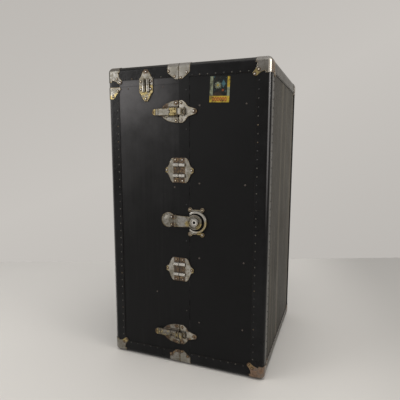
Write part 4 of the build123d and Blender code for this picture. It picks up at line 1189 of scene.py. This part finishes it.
class TRUNK_OT_lock(TrunkOperator, bpy.types.Operator):
    """Finishes the lock: its hasp, plate, keeper ring and cylinder"""

    bl_idname = "trunk.lock"
    bl_label = "Lock"

    def execute(self, context):
        low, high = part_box("hasp")
        edge, z = high.x, halfway("hasp", "z")
        rust = [stain(SEAM - 0.020, z + way * 0.012, 0.009) for way in (-1, 1)]
        plate("hasp_plate", "hasp_plate_finish", brass=0.26, rust=0.34, shine=0.68, rusty=rust)
        rim = [stain(edge - 0.006, z - 0.016, 0.015), stain(edge - 0.050, z - 0.006, 0.010)]
        plate(
            "hasp", "hasp_finish", brass=0.20, rust=0.28, shine=0.70, rough=0.26,
            brassy=rim, proud=low.y + 0.0042,
        )
        coppery = [stain(edge + 0.010, z - 0.014, 0.022), stain(edge - 0.006, z - 0.038, 0.014)]
        plate(
            "lock_keeper", "lock_keeper_finish", brass=0.26, rust=0.34, shine=0.92, rough=0.20,
            brassy=coppery, proud=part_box("lock_keeper")[0].y + 0.0016,
        )
        softened("lock_cylinder", plug_finish("plug_face"))
        return {"FINISHED"}


def plug_finish(name):
    """The lock plug: bright face, with the bore painted black as shade."""
    paint = colours()
    f = Finish(name)
    low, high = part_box("lock_cylinder")
    middle = (low + high) / 2
    depth = f.band(f.at("Y"), low.y + 0.0004, low.y + 0.0016)
    flat = f.vectors("MULTIPLY", f.place, (1, 0, 1))
    far = f.vectors("DISTANCE", flat, (middle.x, 0, middle.z), "Value")
    bore = f.largest(depth * f.band(far, 0.0068, 0.0060), f.band(far, 0.0052, 0.0046))
    cloud = f.noise(260, 4, 0.6)
    f.base = f.mix(f.band(cloud, 0.35, 0.65), tint(paint.nickel, 1.75), tint(paint.nickel, 1.3))
    # Painted shade: the bore is painted near black.
    f.lay(bore, (0.002, 0.002, 0.002))
    f.relief(cloud, 0.0003, 0.4)
    roughness = f.clamped(0.22 + cloud * 0.15 + bore * 0.6)
    return f.end(roughness=roughness, metallic=f.clamped(1.0 - bore))


class TRUNK_OT_hinges(TrunkOperator, bpy.types.Operator):
    """Finishes the rear hinges, the lid hinges and the pins"""

    bl_idname = "trunk.hinges"
    bl_label = "Hinges"

    def execute(self, context):
        leaves = made("hinge_plate", plated, brass=0.15, rust=0.40)
        for node in (
            "rear_hinge_leaves_left", "rear_hinge_leaves_right", "rear_hinge_pins",
            "lid_hinge_leaves_lower", "lid_hinge_leaves_upper", "left_fitting_pins",
        ):
            softened(node, leaves, width=0.3 * MM)
        return {"FINISHED"}


class TRUNK_OT_nails(TrunkOperator, bpy.types.Operator):
    """Sets the nails along every binding and down the strip over the seam"""

    bl_idname = "trunk.nails"
    bl_label = "Binding nails"

    def execute(self, context):
        bench = stud_tree("Nail rows", True)
        head = made("nail_heads", nail_finish)
        given = sizes()
        right_start, left_start = SEAM + 0.045, SEAM - 0.062  # clear of the clamps on the seam
        left_top = Vector((LEFT_HIGH.x, LEFT_HIGH.y, TOP))
        below_lid = LID_SEAM - 0.052
        x, strip_pitch = halfway("right_seam_strip", "x") + 0.008, 0.118
        right = shell_rows(BINDING_LOW, BINDING_HIGH, right_start, 1)
        left = shell_rows(LEFT_LOW, left_top, left_start, -1, roof=False, hang=below_lid)
        lid = shell_rows(LID_LOW, LID_HIGH, left_start, -1, floor=False)
        strip = [line((x, BINDING_LOW.y, 0.20), (x, BINDING_LOW.y, 0.93), FRONT)]
        for place, body, rows, pitch in (
            ("right_half", "right_half", right, given.nail_pitch),
            ("left_half", "left_half", left, given.nail_pitch),
            ("lid", "lid", lid, given.nail_pitch),
            ("seam_strip", "right_half", strip, strip_pitch),
        ):
            studs("nails_" + place, body, bench, rows, given.nail_radius, given.nail_height, head, pitch)
        return {"FINISHED"}


class TRUNK_OT_rivets(TrunkOperator, bpy.types.Operator):
    """Sets the rivets of every fitting and the heads on the open boards"""

    bl_idname = "trunk.rivets"
    bl_label = "Rivets"

    def execute(self, context):
        self.fitting_rivets(sizes())
        self.board_rivets()
        return {"FINISHED"}

    def fitting_rivets(self, given):
        bench = stud_tree("Rivet heads", False, True)
        head = made("rivet_heads", rivet_finish)
        right_clamp = [(12.4, 32.0), (-7.8, 47.4)]
        right = corner_heads(1, True) + corner_heads(1, False)
        right += wrapped_heads(right_clamp, True) + wrapped_heads(right_clamp, False)
        left = corner_heads(-1, False) + wrapped_heads([(-49.5, 32.0), (-29.0, 46.0)], False)
        lid = corner_heads(-1, True) + wrapped_heads([(-49.5, 26.0), (-29.0, 43.0)], True)
        for z in dowel_heights():
            right += front_heads(SEAM, z, [(12, 34), (12, -34), (44, 0)])
            left += front_heads(SEAM, z, [(-12, 34), (-12, -34), (-44, 0)])
        for place in ("bottom", "top"):
            z = halfway("draw_lever_" + place, "z")
            right += front_heads(SEAM, z, [(9, 27), (9, -27), (51, 0)])
            left += front_heads(SEAM, z, [(-9, 28), (-9, -28)])
        lock = halfway("hasp", "z")
        right += front_heads(SEAM + LOCK_OFFSET, lock, [(-21, 41), (21, 41), (-21, -41), (21, -41)])
        left += front_heads(SEAM - 40 * MM, lock, [(12, 13), (12, -13)])
        lid_x = halfway("lid_dowel_plate", "x")
        lid += front_heads(lid_x, LID_SEAM, [(0, 43), (-18, 12), (18, 12)])
        left += front_heads(lid_x, LID_SEAM, [(0, -43), (-18, -12), (18, -12)])
        for y, facing in ((CAP_LOW.y, FRONT), (CAP_HIGH.y, BACK)):
            for inward, below in ((40, 13), (21, 31)):
                left.append(one(LEFT_LOW.x + inward * MM, y, LID_SEAM - below * MM, facing))
        for body, rows in (("right_half", right), ("left_half", left), ("lid", lid)):
            studs("rivets_" + body, body, bench, rows, given.rivet_radius, given.rivet_height, head)

    def board_rivets(self):
        brown = made("board_rivets", board_rivet_finish)
        plain = stud_tree("Board heads", False)
        heights, columns = (0.163, 0.388, 0.636, 0.881), (0.055, 0.205)
        on_right = [(x, z) for z in heights for x in columns]
        on_left = [(-0.200, 0.944), (-0.071, 0.944), (-0.032, 0.621), (-0.102, 0.252)]
        for body, places in (("right_half", on_right), ("left_half", on_left)):
            rows = [one(x, BOARD_FRONT, z, FRONT) for x, z in places]
            studs("board_rivets_" + body, body, plain, rows, 3.0 * MM, 1.2 * MM, brown)


class TRUNK_OT_label(TrunkOperator, bpy.types.Operator):
    """Pastes a travel label with a rayed sun, a kite and a plaited band on the right half"""

    bl_idname = "trunk.label"
    bl_label = "Travel label"

    def execute(self, context):
        left, right, foot, head = 88.5 * MM, 152 * MM, 888 * MM, 965 * MM
        tilt = Matrix.Rotation(math.radians(-2.4), 2).transposed()
        radius, arc = 0.8 * MM, 6
        outline = []
        for x, z, start in ((right, head, 0), (left, head, 90), (left, foot, 180), (right, foot, 270)):
            inner_x = x - radius if x == right else x + radius
            inner_z = z - radius if z == head else z + radius
            for n in range(arc + 1):
                a = math.radians(start + 90 * n / arc)
                outline.append((inner_x + radius * math.cos(a), inner_z + radius * math.sin(a)))
        middle = Vector(((left + right) / 2, (foot + head) / 2))
        work = bmesh.new()
        sheet, back, face = {}, [], []
        for corner in outline:
            flat = Vector(corner)
            turned = middle + (flat - middle) @ tilt
            for side, y in ((back, BOARD_FRONT + 0.1 * MM), (face, BOARD_FRONT - sizes().label_thickness)):
                side.append(work.verts.new((turned.x, y, turned.y)))
                sheet[side[-1]] = ((flat.x - left) / (right - left), (flat.y - foot) / (head - foot))
        work.faces.new(face)
        work.faces.new(back)
        for n in range(len(outline)):
            m = (n + 1) % len(outline)
            work.faces.new((back[n], back[m], face[m], face[n]))
        bmesh.ops.recalc_face_normals(work, faces=work.faces)
        grid = work.loops.layers.uv.new("UVMap")
        for part in work.faces:
            for loop in part.loops:
                loop[grid].uv = sheet[loop.vert]
        mesh = bpy.data.meshes.new("travel_label")
        work.to_mesh(mesh)
        work.free()
        mesh.materials.append(self.printed())
        piece = new_object("travel_label", mesh)
        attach(piece, "right_half")
        return {"FINISHED"}

    def printed(self):
        """The label's print. U and v run from 0 to 1 across it and up it."""
        paint = colours()
        f = Finish("label_print", {"Specular IOR Level": 0.2})
        sheet = f.node("ShaderNodeUVMap", {"uv_map": "UVMap"})
        u, v = f.part(sheet, "X"), f.part(sheet, "Y")
        patch = f.noise(120, 3, 0.6, shift=1.0)
        paper_shape = 0.825  # width over height

        def about(x, y):
            """Across and up from a place, and how far from it."""
            across, up = (u - x) * paper_shape, v - y
            return across, up, f.sum("SQRT", across * across + up * up)

        f.base = f.mix(f.band(patch, 0.60, 0.66) * f.band(v, 0.25, 0.5), paint.label_ground, paint.label_teal)

        # The sun with its rays, then the kite.
        across, up, far = about(0.40, 0.66)
        rays = f.away(f.sum("COSINE", f.sum("ARCTAN2", up, across) * 5.0))
        f.lay(f.band(far - rays * 0.070, 0.078, 0.064), paint.label_motif)
        f.lay(f.band(far, 0.046, 0.036), paint.label_band)
        across, up, far = about(0.68, 0.72)
        kite = f.away(across) * 1.7 + f.away(up)
        f.lay(f.band(kite, 0.17, 0.14), paint.label_teal)
        flecks = f.band(f.noise(260, 4, 0.7, shift=9.0), 0.60, 0.66)
        f.lay(flecks * 0.75, paint.label_motif)

        # The dot and the hill, then the strips down both sides.
        dot, hill = (0.66, 0.47, 0.045, paint.label_red), (0.40, 0.12, 0.27, paint.fibre_core)
        for x, y, radius, tone in (dot, hill):
            inside = f.band(about(x, y)[2], radius + 0.010, radius - 0.010)
            f.lay(inside, tint(tone, 0.8))
        faint = f.band(patch, 0.68, 0.60)
        f.lay(f.band(u, 0.17, 0.14) * faint, paint.label_motif)
        pale = f.mix(f.band(v, 0.62, 0.56), paint.label_band, paint.label_motif)
        f.lay(f.band(u, 0.86, 0.89) * faint, pale)

        # The band along the foot with its plait of two strands.
        low_band = f.band(v, 0.255, 0.245)
        f.lay(low_band, paint.label_band)
        plait = f.sum("SINE", (u - 0.5) * (6 * math.pi / 0.75)) * 0.058
        strands = [f.away(v - 0.125 + way * plait) for way in (-1, 1)]
        strand = f.band(f.sum("MINIMUM", *strands), 0.044, 0.026) * f.band(f.away(u, 0.5), 0.385, 0.365)
        f.lay(strand * low_band * 0.9, paint.label_red)

        # Dirt, and places where the print is rubbed off.
        dirt = f.noise(70, 5, 0.7)
        f.lay(f.band(dirt, 0.42, 0.66) * 0.72, (0.020, 0.015, 0.010))
        torn = f.band(f.noise(210, 5, 0.75, shift=3.0), 0.66, 0.72)
        f.lay(torn * 0.8, paint.board)
        f.relief(dirt, 0.0003, 0.5)
        return f.end(roughness=f.clamped(0.45 + dirt * 0.25))


class TRUNK_OT_insides(TrunkOperator, bpy.types.Operator):
    """Finishes the linings, the rim battens, the chest of drawers and the hanging gear"""

    bl_idname = "trunk.insides"
    bl_label = "Insides"

    def execute(self, context):
        paint = colours()
        cover(made("lining_paper", printed_paper), "right_lining", "left_lining", "lid_lining")
        cover(made("batten_wood", wood, paint.batten, "Z"), "right_rim_tongue")
        cover(made("chest_wood", wood, paint.drawer_wood, "X"), "chest_sides", "chest_shelves")
        drawer = made("drawer_plywood", wood, paint.drawer_wood, "Y", gloss=0.34)
        knobs = made("knob_plate", plated, brass=0.30, rust=0.20)
        for n in range(1, 5):
            softened(f"drawer_{n}", drawer, width=0.8 * MM)
            softened(f"drawer_{n}_knobs", knobs)
        beech = made("hanger_beech", wood, paint.hanger_wood, "Y")
        softened("garment_hangers", beech, width=1.2 * MM)
        rails = made("rail_plate", plated, brass=0.05, rust=0.10, shine=0.9)
        for node in ("trolley_rails", "hanger_trolley", "hanger_hooks"):
            softened(node, rails, width=0.4 * MM)
        return {"FINISHED"}


class TRUNK_PT_finish(bpy.types.Panel):
    """Lists the sizes, the colours and the work to be done"""

    bl_label = "Steamer trunk"
    bl_idname = "TRUNK_PT_finish"
    bl_space_type = "VIEW_3D"
    bl_region_type = "UI"
    bl_category = "Trunk"

    def draw(self, context):
        for group in (context.scene.trunk_sizes, context.scene.trunk_colours, context.scene.trunk_studio):
            box = self.layout.box()
            for key in group.__annotations__:
                box.prop(group, key)
        for job in JOBS:
            self.layout.operator(job.bl_idname)


JOBS = (
    TRUNK_OT_studio,
    TRUNK_OT_boards,
    TRUNK_OT_bindings,
    TRUNK_OT_caps,
    TRUNK_OT_dowels,
    TRUNK_OT_draw_bolts,
    TRUNK_OT_lock,
    TRUNK_OT_hinges,
    TRUNK_OT_nails,
    TRUNK_OT_rivets,
    TRUNK_OT_label,
    TRUNK_OT_insides,
)
GROUPS = {"trunk_sizes": TrunkSizes, "trunk_colours": TrunkColours, "trunk_studio": TrunkStudio}


def register():
    for group in (*GROUPS.values(), *JOBS, TRUNK_PT_finish):
        bpy.utils.register_class(group)
    for name, group in GROUPS.items():
        setattr(bpy.types.Scene, name, PointerProperty(type=group))


def unregister():
    for name in GROUPS:
        delattr(bpy.types.Scene, name)
    for group in (TRUNK_PT_finish, *reversed(JOBS), *GROUPS.values()):
        bpy.utils.unregister_class(group)


def main():
    register()
    for job in JOBS:
        group, call = job.bl_idname.split(".")
        getattr(getattr(bpy.ops, group), call)()


if __name__ == "__main__":
    main()
